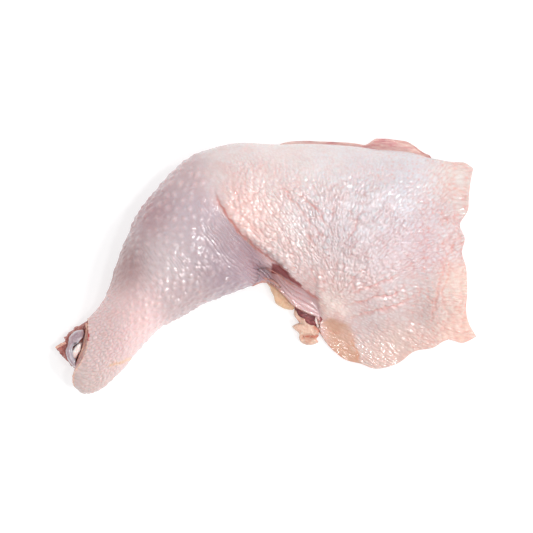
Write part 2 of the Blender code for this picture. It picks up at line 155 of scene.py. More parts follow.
def column(name, at):
    return spline([getattr(s, name) for s in STATIONS], at)


def width_at(at):
    return np.linalg.norm(column("outer", at) - column("inner", at), axis=-1)


def unit(vectors):
    return vectors / np.linalg.norm(vectors, axis=-1, keepdims=True)


def plan(at, across):
    """Plan position at a place along the leg, for across from -1 on the inner rail to 1 on the outer."""
    outer, inner = column("outer", at), column("inner", at)
    half = (outer - inner) / 2
    side = unit(half)
    towards_hock = np.stack([-side[..., 1], side[..., 0]], -1)
    bend = (column("bow", at) * (1 - across**2))[..., None]
    steps = np.clip((across + 1) / 2, 0, 1) * (len(FREE_EDGE) - 1)
    drawn = spline(FREE_EDGE, steps) * ramp(LAST - 2.5, LAST, at)
    drawn = drawn - spline(HOCK_EDGE, steps) * ramp(2.0, 0.0, at)
    return (outer + inner) / 2 + half * across[..., None] + towards_hock * (bend - drawn[..., None])


def fold_distance(points):
    """Distance from each plan point to the fold, positive on the thigh's side, and the depth there."""
    steps = np.linspace(0, len(FOLD) - 1, FOLD_STEPS)
    line, depth = spline(FOLD, steps), spline(FOLD_DEPTH, steps)
    run = unit(np.gradient(line, axis=0))
    flat = points.reshape(-1, 2)
    best = np.full(len(flat), 1e9)
    nearest = np.zeros(len(flat), int)
    for number, place in enumerate(line):
        far = ((flat - place) ** 2).sum(-1)
        closer = far < best
        best[closer] = far[closer]
        nearest[closer] = number
    gone = flat - line[nearest]
    side = run[nearest, 0] * gone[:, 1] - run[nearest, 1] * gone[:, 0]
    return side.reshape(points.shape[:-1]), depth[nearest].reshape(points.shape[:-1])


def fold_relief(points, wider=0.0):
    """Depth of the valley along the fold: steep on the thigh's side and gentler on the drumstick's."""
    distance, depth = fold_distance(points)
    reach = np.where(distance > 0, 2.2, 4.6) + wider
    lip = 0.36 * depth * hill(distance, 3.4, 2.3) if wider == 0 else 0
    return lip - depth * np.exp(-np.abs(distance) / reach)


def flap_relief(at, across):
    """A ridge and a shallow gather in the loose skin near the free edge."""
    inner_half = ramp(-0.95, -0.5, across) * ramp(0.25, -0.2, across)
    ridge = hill(at, 25.9 + 0.5 * np.sin(4 * across), 0.45) * inner_half
    gather = 0.12 * hill(at, 27.2 - 0.3 * np.sin(5 * across), 0.3) * ramp(1.0, 0.7, np.abs(across))
    return FLAP_RIDGE * (ridge + gather)


def dome(across, roundness, steep):
    """Height of a section over its width, from 1 in the middle to 0 at its edges."""
    power = 2.0 + 0.5 * (1 - roundness)
    return np.clip(1 - np.abs(across) ** power, 0, None) ** steep


def rim_height(at, across):
    share = ramp(-1.0, 1.0, across)
    return column("inner_rim", at) * (1 - share) + column("outer_rim", at) * share


def steepness(at, across):
    """Exponent of the dome: a round shoulder, and a long slope where the thigh runs out into loose skin."""
    slope = ramp(17.5, 20.0, at) * ramp(0.2, -0.6, across)
    return 0.5 + 0.06 * (1 - column("round", at)) + 0.5 * slope


def skin_surface(at, angle):
    """Outer surface of the leg; the angle goes from the outer rail over the top and back under."""
    width = width_at(at)
    roundness = column("round", at)
    across = np.cos(angle)
    flat = plan(at, across)
    reach = 2 * column("inner_lap", at) / width
    on_dome = np.clip((across - reach / 2) / (1 - reach / 2), -1, 1)
    rim = rim_height(at, across)
    top = rim + (column("crown", at) - rim) * dome(on_dome, roundness, steepness(at, across))
    inward = ramp(0.0, 0.25, np.abs(np.sin(angle)))
    top = np.maximum(top + (fold_relief(flat) + flap_relief(at, across)) * inward, SHEET + GAP)
    sole = column("sole", at)
    under = dome(np.clip(across, -1, 1), 1.0, 0.5) * roundness
    bottom = np.maximum(rim - (rim - sole) * under, 0.0)
    height = np.where(np.sin(angle) >= 0, top, bottom)
    return np.concatenate([flat, height[..., None]], -1)


def meat_bulge(at, across):
    """How far the meat stands out beyond the skin's edge, on the knee side and in the bend."""
    strip = STRIP * ramp(14.5, 16.4, at) * ramp(24.9, 24.2, at)
    spur = SPUR * ramp(20.2, 20.9, at) * ramp(24.2, 22.4, at)
    return np.where(across > 0, strip + spur, BEND_BULGE * hill(at, 16.8, 1.3))


def meat_surface(at, angle):
    """Surface of the meat, SKIN inside the leg's outer surface where skin covers it."""
    inset = SKIN + GAP
    width = width_at(at)
    roundness = column("round", at)
    lap = column("inner_lap", at)
    half = (width - lap) / 2 - inset
    c, s = np.cos(angle), np.sin(angle)
    below = np.clip(-s, 0, 1)
    boxy = 1 - 0.6 * (1 - roundness) * (s < 0)
    c = np.sign(c) * np.abs(c) ** boxy
    out = meat_bulge(at, c) * ramp(0.0, 0.4, below)
    offset = lap / 2 + half * c + np.sign(c) * out
    across = 2 * offset / width
    flat = plan(at, across)
    rim = np.maximum(rim_height(at, across) - 1.0 * (1 - roundness), 1.2)
    crown = column("crown", at) - inset
    top = rim + (crown - rim) * dome(c, roundness, steepness(at, c))
    top = top + fold_relief(flat, wider=2.5) * ramp(0.0, 0.25, np.abs(s))
    floor = (np.maximum(column("sole", at), 0) + inset) * ramp(12.8, 11.6, at)
    bottom = rim - (rim - floor) * below**boxy
    bottom = np.maximum(np.minimum(bottom, top - MEAT_EDGE * ramp(0.0, 0.3, below)), floor)
    height = np.where(s >= 0, top, bottom)
    return np.concatenate([flat, height[..., None]], -1)


def random_at(cell, salt):
    """Repeatable random numbers from 0 to 1, one for each whole-numbered cell."""
    n = cell.astype(np.int64)
    h = salt * 1013904223
    for k, prime in zip(range(n.shape[-1]), (73856093, 19349663, 83492791)):
        h = h ^ (n[..., k] * prime)
    h = (h ^ (h >> 13)) * 1274126177
    h = h ^ (h >> 16)
    return (h & 0xFFFFFF) / float(0x1000000)


def cells(points, salt, jitter=0.8):
    """Distances to the nearest and second nearest seed of a cell pattern, and a number for the nearest."""
    base = np.floor(points)
    size = points.shape[-1]
    near = np.full(len(points), 9.0)
    second = near.copy()
    mark = np.zeros(len(points))
    for step in np.ndindex(*(3,) * size):
        cell = base + (np.array(step) - 1)
        shift = np.stack([random_at(cell, salt + k) for k in range(size)], -1)
        away = np.linalg.norm(points - (cell + 0.5 + jitter * (shift - 0.5)), axis=-1)
        closer = away < near
        second = np.where(closer, near, np.minimum(second, away))
        mark = np.where(closer, random_at(cell, salt + 7), mark)
        near = np.minimum(near, away)
    return near, second, mark


def clouds(points, salt, octaves=1):
    """Smooth random field from -1 to 1, with one wave to a unit of length."""
    total, share = 0.0, 1.0
    for octave in range(octaves):
        scaled = points * 2**octave
        base = np.floor(scaled)
        f = scaled - base
        f = f * f * (3 - 2 * f)
        value = 0.0
        for step in np.ndindex(*(2,) * points.shape[-1]):
            weight = np.prod(np.where(np.array(step) == 1, f, 1 - f), axis=-1)
            value = value + weight * random_at(base + np.array(step), salt + 31 * octave)
        total = total + share * (2 * value - 1)
        share /= 2
    return total


def drift(points, salt, octaves=1):
    """Two smooth random fields, to shift plan points by."""
    return np.stack([clouds(points, salt, octaves), clouds(points, salt + 1, octaves)], -1)


def plates(points, salt, flat_from=0.5):
    """A cell pattern: 1 on each cell, 0 in the creases between."""
    near, second, _ = cells(points, salt)
    return ramp(0.0, flat_from, second - near)


def turned(points, degrees):
    """Lengths along a direction in the plan, and across it."""
    a = math.radians(degrees)
    along = points[:, 0] * math.cos(a) + points[:, 1] * math.sin(a)
    across = -points[:, 0] * math.sin(a) + points[:, 1] * math.cos(a)
    return np.stack([along, across], -1)


def line_distance(points, path):
    """Distance from plan points to a broken line, and how far along it from 0 to 1."""
    best = np.full(len(points), 1e9)
    where = np.zeros(len(points))
    path = np.asarray(path, float)
    for number, (a, b) in enumerate(zip(path[:-1], path[1:])):
        run = b - a
        f = np.clip(((points - a) @ run) / (run @ run), 0, 1)
        far = np.linalg.norm(points - a - f[:, None] * run, axis=-1)
        closer = far < best
        best = np.where(closer, far, best)
        where = np.where(closer, (number + f) / (len(path) - 1), where)
    return best, where


def normals_of(grid):
    """Unit normals of a grid of points, pointing away from the leg."""
    along = np.gradient(grid, axis=0)
    around = np.gradient(grid, axis=1)
    n = np.cross(along, around)
    return n / np.maximum(np.linalg.norm(n, axis=-1, keepdims=True), 1e-9)


def smoothed(values, width):
    """A grid of values evened out along its columns; width is in columns."""
    reach = int(2.5 * width)
    padded = np.pad(values, ((0, 0), (reach, reach)), "edge")
    total, weight = 0.0, 0.0
    for k in range(-reach, reach + 1):
        w = math.exp(-((k / width) ** 2) / 2)
        total = total + w * padded[:, reach + k : reach + k + values.shape[1]]
        weight += w
    return total / weight


def linear(r, g, b):
    """A colour given as 8-bit sRGB, in linear light."""
    c = np.array((r, g, b)) / 255
    return np.where(c <= 0.04045, c / 12.92, ((c + 0.055) / 1.055) ** 2.4)


def blend_tints(points, tints):
    """Colour at each plan point, from named places with a reach and a colour each."""
    total, weight = np.zeros((len(points), 3)), np.full((len(points), 1), 1e-12)
    for (x, y), reach, colour in tints:
        far = np.linalg.norm(points - photo(x, y), axis=-1)[:, None] / (1.3 * reach * PHOTO_SCALE)
        w = np.exp(-(far**2)) + 1e-6 / (1 + far**2)
        total += w * linear(*colour)
        weight += w
    return TINT_SHARE * total / weight


# Tints of the skin: a pixel of the photograph, how many pixels the tint reaches, and the tint. They were
# tuned round after round against mean colours measured in the photograph at most of these places.
# Besides the skin's own colour these tints hold painted shade and light, from how the leg is lit.
DRUM_TINTS_SHADE_AND_LIGHT = (
    # painted shade: the drumstick's mauve outer side, darker where it curves away
    ((125, 265), 18, (158, 104, 102)),
    ((150, 215), 18, (188, 148, 153)),
    ((185, 170), 18, (216, 191, 193)),
    ((165, 260), 26, (217, 204, 206)),
    ((195, 220), 24, (206, 190, 197)),
    ((225, 262), 24, (168, 148, 157)),
    ((250, 270), 16, (182, 160, 170)),
    ((190, 300), 18, (190, 168, 170)),
    ((130, 310), 22, (242, 212, 211)),
    ((110, 345), 20, (230, 207, 206)),
    ((90, 380), 16, (218, 200, 196)),
    ((225, 160), 18, (212, 200, 200)),
)
THIGH_TINTS_SHADE_AND_LIGHT = (
    ((235, 165), 22, (227, 216, 215)),
    ((290, 165), 26, (232, 222, 220)),
    ((325, 172), 16, (232, 228, 228)),
    ((360, 165), 30, (222, 216, 217)),
    ((330, 205), 30, (211, 205, 209)),
    ((390, 200), 30, (208, 208, 215)),
    ((255, 215), 20, (240, 220, 215)),
    ((290, 245), 22, (230, 220, 218)),
    ((340, 255), 26, (199, 193, 197)),
    ((400, 250), 24, (212, 198, 202)),
    ((330, 290), 22, (236, 212, 206)),
    ((385, 300), 26, (216, 204, 204)),
    # painted shade: these three grey the thigh's right slope, where it turns down
    ((425, 240), 16, (204, 192, 198)),
    ((436, 210), 14, (206, 199, 203)),
    ((430, 300), 20, (197, 190, 188)),
    ((455, 190), 20, (220, 211, 206)),
    ((458, 290), 15, (236, 217, 206)),
    ((450, 240), 13, (222, 212, 211)),
    ((400, 350), 20, (222, 197, 187)),
    ((460, 330), 16, (238, 212, 200)),
    # a cream patch with painted highlight on it
    ((331, 304), 9, (250, 232, 222)),
)
TINT_SHARE = 0.975  # the lit skin is paler than its own colour
TAN = (198, 151, 118)  # thin skin over fat, at the thigh's lower left corner
BAND = (222, 194, 196)  # the band of loose skin in the bend
PIT_SHADE = (136, 60, 62)  # painted shade, dark red, deep in the bend under the fold's lip
CREASE_RED_AND_SHADE = (222, 138, 124)  # blood in the creases, red dots, and painted shade in the hollows
WARM = (244, 190, 176)  # warm mottles
CUT_END_PAINTED_PALE = (246, 200, 176)  # the skin's cut end at the hock, painted paler to lift its shade
BLOOD = (190, 22, 24)
BLOOD_SPOT = ((87.5, 331), (88.6, 335), (88.2, 339))
PALE = (244, 228, 220)  # raised follicles
FASCIA = (236, 206, 196)  # seams in the meat
LINING = (206, 158, 148)
# the lining at the hock's cut end, its tan painted paler to lift its shade
HOCK_LINING_PAINTED_PALE = (250, 212, 188)
LIP_SHADE = np.array((0.3, 0.5, 0.5))  # painted shade: how much darker the line under the fold's lip is
CREPE_TOP_HIGHLIGHT = np.array((0.20, 0.34, 0.34))  # painted highlight on the crepe's tops, shade in its hollows

# Coloured marks: pixels of the photograph, half width in millimetres, tint and its share
MARKS = (
    (((112, 365), (122, 363), (131, 359)), 0.9, (236, 186, 116), 0.45),
    (((353, 341), (357, 349), (358, 358)), 0.8, (214, 140, 84), 0.45),
    (((319, 331), (326, 343), (335, 353), (346, 362), (360, 367)), 0.7, (180, 112, 80), 0.45),
    # painted shade in the notch at the lower edge
    (((354, 364), (362, 367), (370, 368)), 0.8, (190, 100, 80), 0.5),
    (((447, 262), (450, 274), (442, 292), (446, 308), (455, 322)), 0.6, (224, 160, 142), 0.22),
    (((463, 231), (453, 245), (444, 261), (439, 284), (436, 305), (429, 326)), 0.9, (216, 170, 160), 0.3),
    # a cream streak with painted highlight on it
    (((326, 298), (334, 305), (344, 313)), 1.6, (252, 238, 228), 0.4),
)
# Long creases in the thigh's skin, as pixels of the photograph, with their depth in millimetres
CREASES = (
    (((278, 184), (288, 194), (296, 205), (306, 220), (316, 231), (325, 241)), 0.55),
    (((299, 191), (306, 200), (313, 210), (320, 216), (327, 226)), 0.75),
    (((307, 183), (315, 192), (320, 197)), 0.4),
    (((334, 205), (333, 214), (332, 224)), 0.6),
    (((357, 217), (353, 229), (345, 240)), 0.6),
    (((231, 168), (233, 182), (236, 197), (240, 209)), 0.25),
    (((238, 180), (240, 192), (243, 202), (250, 209)), 0.25),
    (((246, 216), (252, 226), (262, 237)), 0.4),
    (((305, 232), (309, 240), (316, 246)), 0.6),
    (((350, 292), (366, 288), (384, 282), (402, 272)), 0.8),
    (((344, 306), (364, 301), (388, 296), (410, 284)), 0.9),
    (((352, 318), (372, 312), (398, 306), (420, 292)), 0.8),
    (((432, 252), (441, 246), (451, 236), (458, 226)), 0.3),
    (((463, 231), (453, 245), (444, 261), (439, 284), (436, 305), (429, 326)), 0.35),
    (((447, 262), (450, 274), (442, 292), (446, 308), (455, 322)), 0.22),
)
# Where the thigh's skin is thin and tan, down to its edge
TAN_FLAP = (
    (318, 322), (325, 320), (334, 320), (345, 324), (351, 330), (354, 338), (355, 346), (358, 353),
    (361, 368), (335, 366), (312, 340),
)
PIT_OUTLINE = (
    (272, 263), (280, 265.5), (287.5, 272), (291, 277.5), (302, 285.5), (301.3, 287), (288, 280),
    (280, 275), (271, 273),
)
FAN_CENTRE = photo(335, 300)  # the small folds of the thigh's skin spread from here
FAN = (150, 125, 100, 75, 50, 25, 0, -25)  # directions of the folds, in degrees

# Patterns of the skin in millimetres: the size of a cell or the pitch of the lines, and the height
GOOSE_CELL, FINE_GOOSE_CELL, GOOSE_HEIGHT = 4.7, 3.9, 0.72
CREPE_CELL, PEBBLE_CELL, WRINKLE_CELL = (4.2, 2.0), (2.0, 1.2), (12.0, 4.6)
BUBBLE_CELL, BUBBLE_HEIGHT = 3.0, 0.8
STRIPE_PITCH, STRIPE_HEIGHT = 1.75, 0.95
THREAD_PITCH, THREAD_HEIGHT = 1.5, 0.22
SHANK_CELL, SHANK_HEIGHT = (2.9, 1.7), 0.5
LIP_PITCH, LIP_HEIGHT = 4.6, 0.35
KNEE_CELL, KNEE_HEIGHT = (3.6, 17.0), 0.22
GATHER_CELL, GATHER_HEIGHT = (3.3, 15.0), 0.15
BAND_PITCH, BAND_HEIGHT = 1.7, 0.42
DOT_CELL = 2.7
RELIEF_LEVEL = 0.35  # height of the relief that lies on the leg's own surface

# Rows and columns of the skin's points, and how many rows and columns there are to one of the lining
SKIN_ROWS, SKIN_COLUMNS, LINING_STEP = ((600, 420, 6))
WIDE, NARROW = 28, 75  # the skin is evened out over one part in so many of its rows or columns
LINING_DEPTH = 1.55  # from the leg's surface to the lining
PINCH = 0.8  # how much thinner the skin is in the fold and at the hock


def even_rows(count, end=LAST):
    """Places along the leg, from the hock to the end, at even distances."""
    fine = np.linspace(0, end, 600)
    middle = plan(fine, 0 * fine)
    length = np.concatenate([[0], np.cumsum(np.linalg.norm(np.diff(middle, axis=0), axis=-1))])
    return np.interp(np.linspace(0, length[-1], count), length, fine)


def skin_grid():
    """Places and angles of the skin's points: right round the drumstick, and open under the thigh."""
    at = even_rows(SKIN_ROWS + 1)[:, None]
    v = np.linspace(0, 1, SKIN_COLUMNS + 1)[None, :]
    opened = ramp(11.3, 13.4, at)
    first = -math.pi / 2 * (1 - opened)
    last = math.pi * 1.5 - math.pi / 2 * opened
    return at + 0 * v, first + (last - first) * v


def unrolled(at, grid):
    """Plan position of each point, with the sides of the leg rolled out flat."""
    step = np.linalg.norm(np.diff(grid, axis=1), axis=-1)
    length = np.concatenate([np.zeros((len(grid), 1)), np.cumsum(step, axis=1)], axis=1)
    crown = grid[:, :, 2].argmax(1)
    rows = np.arange(len(grid))
    outward = length[rows, crown][:, None] - length
    side = unit(column("outer", at) - column("inner", at))
    return grid[rows, crown, :2][:, None] + side * outward[..., None]


def inside(points, outline, soft):
    """1 inside an outline in pixels of the photograph and 0 outside, with an edge soft millimetres wide."""
    path = np.array(on_photo(outline))
    away, _ = line_distance(points, np.concatenate([path, path[:1]]))
    within = np.zeros(len(points), bool)
    for (x0, y0), (x1, y1) in zip(path, np.roll(path, -1, axis=0)):
        spans = (points[:, 1] < y0) != (points[:, 1] < y1)
        crossing = x0 + (points[:, 1] - y0) * (x1 - x0) / np.where(y1 == y0, 1e-9, y1 - y0)
        within ^= spans & (points[:, 0] < crossing)
    return ramp(-soft / 2, soft / 2, np.where(within, away, -away))


def follicles(spots, size, salt, width):
    """Rounded bumps, one to a cell of the given size, and each one's own size."""
    near, _, mark = cells(spots / size, salt, jitter=0.62)
    return hill(near * size, 0.0, width * (0.75 + 0.5 * mark)) * (0.45 + 0.75 * mark)


def fan_folds(spots, cell, salt, flat_from=0.62):
    """Small folds that spread from the bend: 1 on top of each, 0 in the creases between."""
    way = np.degrees(np.arctan2(spots[:, 1] - FAN_CENTRE[1], spots[:, 0] - FAN_CENTRE[0]))
    moved = spots + 1.6 * drift(spots / 9, salt + 60)
    total, weight = np.zeros(len(spots)), np.zeros(len(spots))
    for number, lean in enumerate(FAN):
        apart = np.abs((way - lean + 180) % 360 - 180)
        w = np.clip(1 - apart / 25, 0, None)
        if number == 0:
            w = np.where((way > lean) | (way < -115), 1.0, w)
        if number == len(FAN) - 1:
            w = np.where((way < lean) & (way >= -115), 1.0, w)
        total += w * plates(turned(moved, lean) / cell, salt + 11 * number, flat_from)
        weight += w
    return total / np.maximum(weight, 1e-6)


def reaches(points, pixel, reach):
    """Distance from a pixel of the photograph, in units of the reach in X and in Y."""
    return np.linalg.norm((points - photo(*pixel)) / reach, axis=-1)


def mixed(colour, share, tint):
    """Colours moved towards a tint, by a share at each point."""
    return colour * (1 - share[:, None]) + tint * share[:, None]


class SkinMap:
    """Where each point of the skin lies, and its share, from 0 to 1, in each region of the leg."""

    def __init__(self, at, angle, grid):
        self.place = place = at.reshape(-1)
        self.flat = flat = grid[..., :2].reshape(-1, 2)
        self.spots = unrolled(at, grid).reshape(-1, 2)
        self.topside = topside = ramp(-0.05, 0.1, np.sin(angle).reshape(-1))
        self.distance, depth = fold_distance(flat)
        self.thigh = self.thigh_share(depth)
        self.near_crease = ramp(9.0, 11.0, place) * topside * ramp(0.3, 1.2, depth)
        self.band = (1 - self.thigh) * ramp(12.7, 13.9, place) * topside
        self.drum = (1 - self.thigh) * (1 - self.band)
        self.shank = self.drum * ramp(6.5, 2.5, place)
        self.flap = ramp(24.6, 25.6, place)
        self.tan = inside(flat + 1.2 * drift(self.spots / 5, 55, 2), TAN_FLAP, 4.0) * self.thigh
        self.pit = inside(flat, PIT_OUTLINE, 1.1) * topside
        self.striped = self.near_crease * ramp(-34.0, -6.0, self.distance) * ramp(1.5, -0.5, self.distance)
        self.lip = self.near_crease * hill(self.distance, 5.0, 8.0)
        self.bubbly = self.near_crease * hill(self.distance, 7.0, 11.0) * self.thigh
        under_lip = self.distance + 0.5 * clouds(self.spots / 2.2, 67)
        self.lip_line = self.near_crease * hill(under_lip, 0.5, 0.7)
        self.middle = ramp(1.45, 0.35, reaches(flat, (356, 232), (60, 32)))
        self.lower = hill(reaches(flat, (370, 300), (36, 20)), 0, 1)
        self.crumpled = self.crumpled_share()

    def thigh_share(self, depth):
        """The thigh's side of the fold, with a soft limit where the fold is shallow."""
        blur = 0.5 + 9 * ramp(1.7, 0.3, depth)
        share = ramp(-blur, blur, self.distance) * ramp(9.0, 11.0, self.place)
        share = np.maximum(share, ramp(11.0, 13.0, self.place) * (1 - self.topside))
        slanted = self.place + 0.15 * np.clip(self.distance, -12, 12)
        return np.maximum(share, ramp(15.3, 17.6, slanted))

    def beside_knee(self, x, width, start, end):
        """A patch of the thigh beside the knee, round a pixel column of the photograph."""
        y = self.flat[:, 1]
        return hill(self.flat[:, 0], photo(x, 0)[0], width) * ramp(*start, y) * ramp(*end, y)

    def crumpled_share(self):
        """How strong the thigh's crepe is: most in the middle, and least along the outer side."""
        share = 0.3 + 0.7 * np.clip(self.middle + 0.7 * self.lower + 0.3 * self.lip, 0, 1)
        share = share * (1 - 0.4 * ramp(38.0, 54.0, self.flat[:, 1])) * (1 - 0.6 * self.tan)
        loose = 0.25 * ramp(23.0, 25.0, self.place)
        return share + loose + 0.3 * self.beside_knee(258, 24, (14.0, 34.0), (64.0, 54.0))


def goose_bumps(skin):
    """The drumstick's goose bumps, larger on its upper side and finer below, and where that side is."""
    upper = ramp(-26.0, 14.0, skin.spots[:, 1] - 0.35 * (skin.spots[:, 0] + 70))
    coarse = follicles(skin.spots, GOOSE_CELL, 3, 1.25)
    fine = follicles(skin.spots, FINE_GOOSE_CELL, 5, 1.2)
    return coarse * upper + fine * (1 - upper), upper


def thigh_crepe(skin):
    """The thigh's crepe: its height, how red its creases are, and how far each point is on its tops."""
    # the redness of the creases is partly painted shade
    spots = skin.spots
    crepe = fan_folds(spots, CREPE_CELL, 101)
    pebble = fan_folds(spots, PEBBLE_CELL, 301)
    wrinkle = fan_folds(spots, WRINKLE_CELL, 501, 0.22)
    patches = ramp(-0.75, 0.45, clouds(spots / 6.5, 66, 2))
    share = skin.thigh * skin.crumpled
    height = share * (0.65 + 0.55 * skin.middle) * (0.38 + 0.62 * patches) * (1 - 0.6 * skin.bubbly)
    height = height * (0.7 * crepe + 0.42 * pebble + 0.6 * wrinkle + 0.2 * clouds(spots / 1.3, 64))
    flushed = 0.6 + 0.4 * np.clip(skin.lower, 0, 1) + 0.5 * np.clip(skin.lip, 0, 1)
    deep = (1 - crepe) ** 1.5 * 0.6 + (1 - pebble) ** 1.5 * 0.2 + (1 - wrinkle) * 0.55
    redness = share * flushed * deep * (0.4 + 0.6 * patches)
    return height, redness, share * (0.7 * (crepe - 0.55) + 0.3 * (pebble - 0.5))


def fold_patterns(skin):
    """Patterns of folds, 1 on the tops and 0 in the creases, each with its height and its redness."""
    # the redness of each pattern's creases is partly painted shade
    spots, distance = skin.spots, skin.distance
    # Fine stripes on the drumstick along the fold
    wavy = 0.5 * clouds(spots / 7, 71, 2) + 0.25 * clouds(spots / 2.5, 72)
    stripes = ridges(distance / STRIPE_PITCH + wavy, 0.8)
    striped = skin.drum * skin.striped * ramp(-0.7, 0.2, clouds(spots / 13, 73, 2) + 0.5 * skin.striped)
    yield stripes, STRIPE_HEIGHT * striped, 0.35 * striped
    # Faint threads on the drumstick's calf
    lengthways = turned(spots, -58)
    threads = ridges(lengthways[:, 1] / THREAD_PITCH + 0.5 * clouds(spots / 6, 78, 2), 0.8)
    calf = skin.drum * hill(reaches(skin.flat, (170, 255), (30, 24)), 0, 1)
    yield threads, THREAD_HEIGHT * calf * ramp(-0.1, 0.5, clouds(lengthways / (14, 7), 79)), 0
    # Loose wrinkles round the shank
    yield plates(turned(spots, 36.87) / SHANK_CELL, 81), SHANK_HEIGHT * skin.shank, 0.35 * skin.shank
    # Lines along the lip of the fold
    lines = ridges(distance / LIP_PITCH + 0.55 * clouds(spots / 8, 74, 2), 0.7)
    yield lines, LIP_HEIGHT * skin.thigh * skin.lip, skin.thigh * skin.lip
    # Soft upright folds towards the knee
    upright = skin.thigh * skin.beside_knee(255, 17, (12.0, 30.0), (62.0, 50.0))
    yield plates(spots / KNEE_CELL, 91), KNEE_HEIGHT * upright, 0.45 * upright
    # Gathers in the loose skin at the free edge, fainter in its upper half
    sway = np.sin(spots[:, 1:] / 7) * (0.4, 0.0)
    fainter = 0.4 + 0.6 * ramp(20.0, 0.0, skin.flat[:, 1])
    height = GATHER_HEIGHT * skin.flap * fainter
    yield plates(spots / GATHER_CELL + sway, 95), height, 0.3 * skin.flap * skin.thigh
    # Long folds in the band in the bend
    folds = ridges(distance / BAND_PITCH + 0.4 * clouds(spots / 8, 75, 2), 0.7)
    yield folds, BAND_HEIGHT * skin.band, 0.5 * skin.band


def swells(skin):
    """Broad unevenness of the skin, and a fine grain on the drumstick."""
    spots = skin.spots
    return (
        0.5 * skin.thigh * clouds(spots / 16, 76, 2) * skin.topside
        + 0.35 * skin.drum * clouds(spots / 13, 77, 2)
        + 0.10 * skin.drum * clouds(spots / 1.5, 68, 2)
        + 0.2 * skin.shank * clouds(spots / 1.4, 65)
    )


def long_creases(skin):
    """The thigh's long creases with the rolls beside them: their height, and how red they are."""
    height, redness = np.zeros(len(skin.flat)), np.zeros(len(skin.flat))
    wavy = skin.flat + 1.1 * drift(skin.spots / 4, 51, 2)
    for path, deep in CREASES:
        away, along = line_distance(wavy, on_photo(path))
        taper = np.sin(math.pi * np.clip(along, 0.04, 0.96)) ** 0.5 * skin.topside
        height += deep * taper * (0.35 * hill(away, 1.7, 0.8) - hill(away, 0, 0.75))
        redness = np.maximum(redness, taper * hill(away, 0, 0.6) * deep * 0.9)
    return height, redness


def skin_colour(skin, bumps, upper, tops, red):
    """Tint of each point, with painted shade and light: its region's, red creases, pale bumps, pit, marks."""
    spots, flat = skin.spots, skin.flat
    colour = blend_tints(spots * 0.35 + flat * 0.65, DRUM_TINTS_SHADE_AND_LIGHT)
    colour = mixed(colour, skin.thigh, blend_tints(flat, THIGH_TINTS_SHADE_AND_LIGHT))
    colour = mixed(colour, skin.band, linear(*BAND))
    colour = mixed(colour, skin.tan * (0.7 + 0.1 * clouds(spots / 6, 57, 2)), linear(*TAN))
    colour = colour * (1 - skin.lip_line[:, None] * LIP_SHADE)
    warm = np.clip(clouds(spots / 6, 41, 3), 0, 1) * (0.25 + 0.75 * skin.thigh)
    colour = colour * (1 - 0.154 * warm[:, None] * (1 - linear(*WARM)))
    # painted highlight on the crepe's tops and painted shade in its hollows, over their own paler tops
    colour = colour * (1 + tops[:, None] * CREPE_TOP_HIGHLIGHT)
    knee_corner = ramp(38.0, 48.0, flat[:, 1]) * ramp(40.0, 70.0, flat[:, 0])
    dotty = 0.25 + 0.75 * np.maximum(ramp(22.5, 24.5, skin.place), knee_corner)
    dots = follicles(spots, DOT_CELL, 45, 0.55) * dotty * skin.thigh * skin.topside
    colour = mixed(colour, 0.6 * np.clip(red + 0.55 * dots, 0, 1), linear(*CREASE_RED_AND_SHADE))
    grown = skin.drum * ramp(2.5, 5.0, skin.place)
    raised = np.clip(grown * bumps * (1 - 0.5 * skin.striped), 0, 1)
    colour = mixed(colour, 0.11 * raised, linear(*PALE))
    # painted shade between the goose bumps on the drumstick's upper side
    colour = colour * (1 - 0.10 * np.clip(grown * (1 - bumps) * upper, 0, 1)[:, None])
    # painted shade, dark red, in the pit under the fold's lip
    colour = mixed(colour, 0.92 * skin.pit, linear(*PIT_SHADE))
    # the cut end's tan painted paler, to lift the shade on it
    colour = mixed(colour, 0.7 * ramp(0.28, 0.08, skin.place) * skin.topside, linear(*CUT_END_PAINTED_PALE))
    wavy = flat + 0.7 * clouds(spots / 3, 59, 2)[:, None]
    for path, width, mark, share in MARKS:
        away, _ = line_distance(wavy, on_photo(path))
        colour = mixed(colour, share * hill(away, 0, width) * skin.topside, linear(*mark))
    away, _ = line_distance(flat, on_photo(BLOOD_SPOT))
    spot = hill(away + 0.3 * clouds(flat / 0.8, 58), 0, 0.65) * skin.topside
    return mixed(colour, spot, linear(*BLOOD))


def skin_wetness(skin):
    """How wet each point is, from 0 to 1: less on the loose skin, in the pit and on the drumstick."""
    dry_start = hill(reaches(skin.flat, (215, 203), (10, 10)), 0, 1)
    wet = 1 - 0.75 * ramp(23.0, 25.0, skin.place) - 0.85 * dry_start
    wet = wet * (1 - 0.8 * skin.pit) * (1 - 0.5 * skin.tan) * (1 - skin.drum * (0.18 + 0.35 * skin.striped))
    plain = np.clip(1 - skin.middle - skin.lower - skin.bubbly, 0, 1)
    return wet * (1 - 0.35 * skin.thigh * plain)


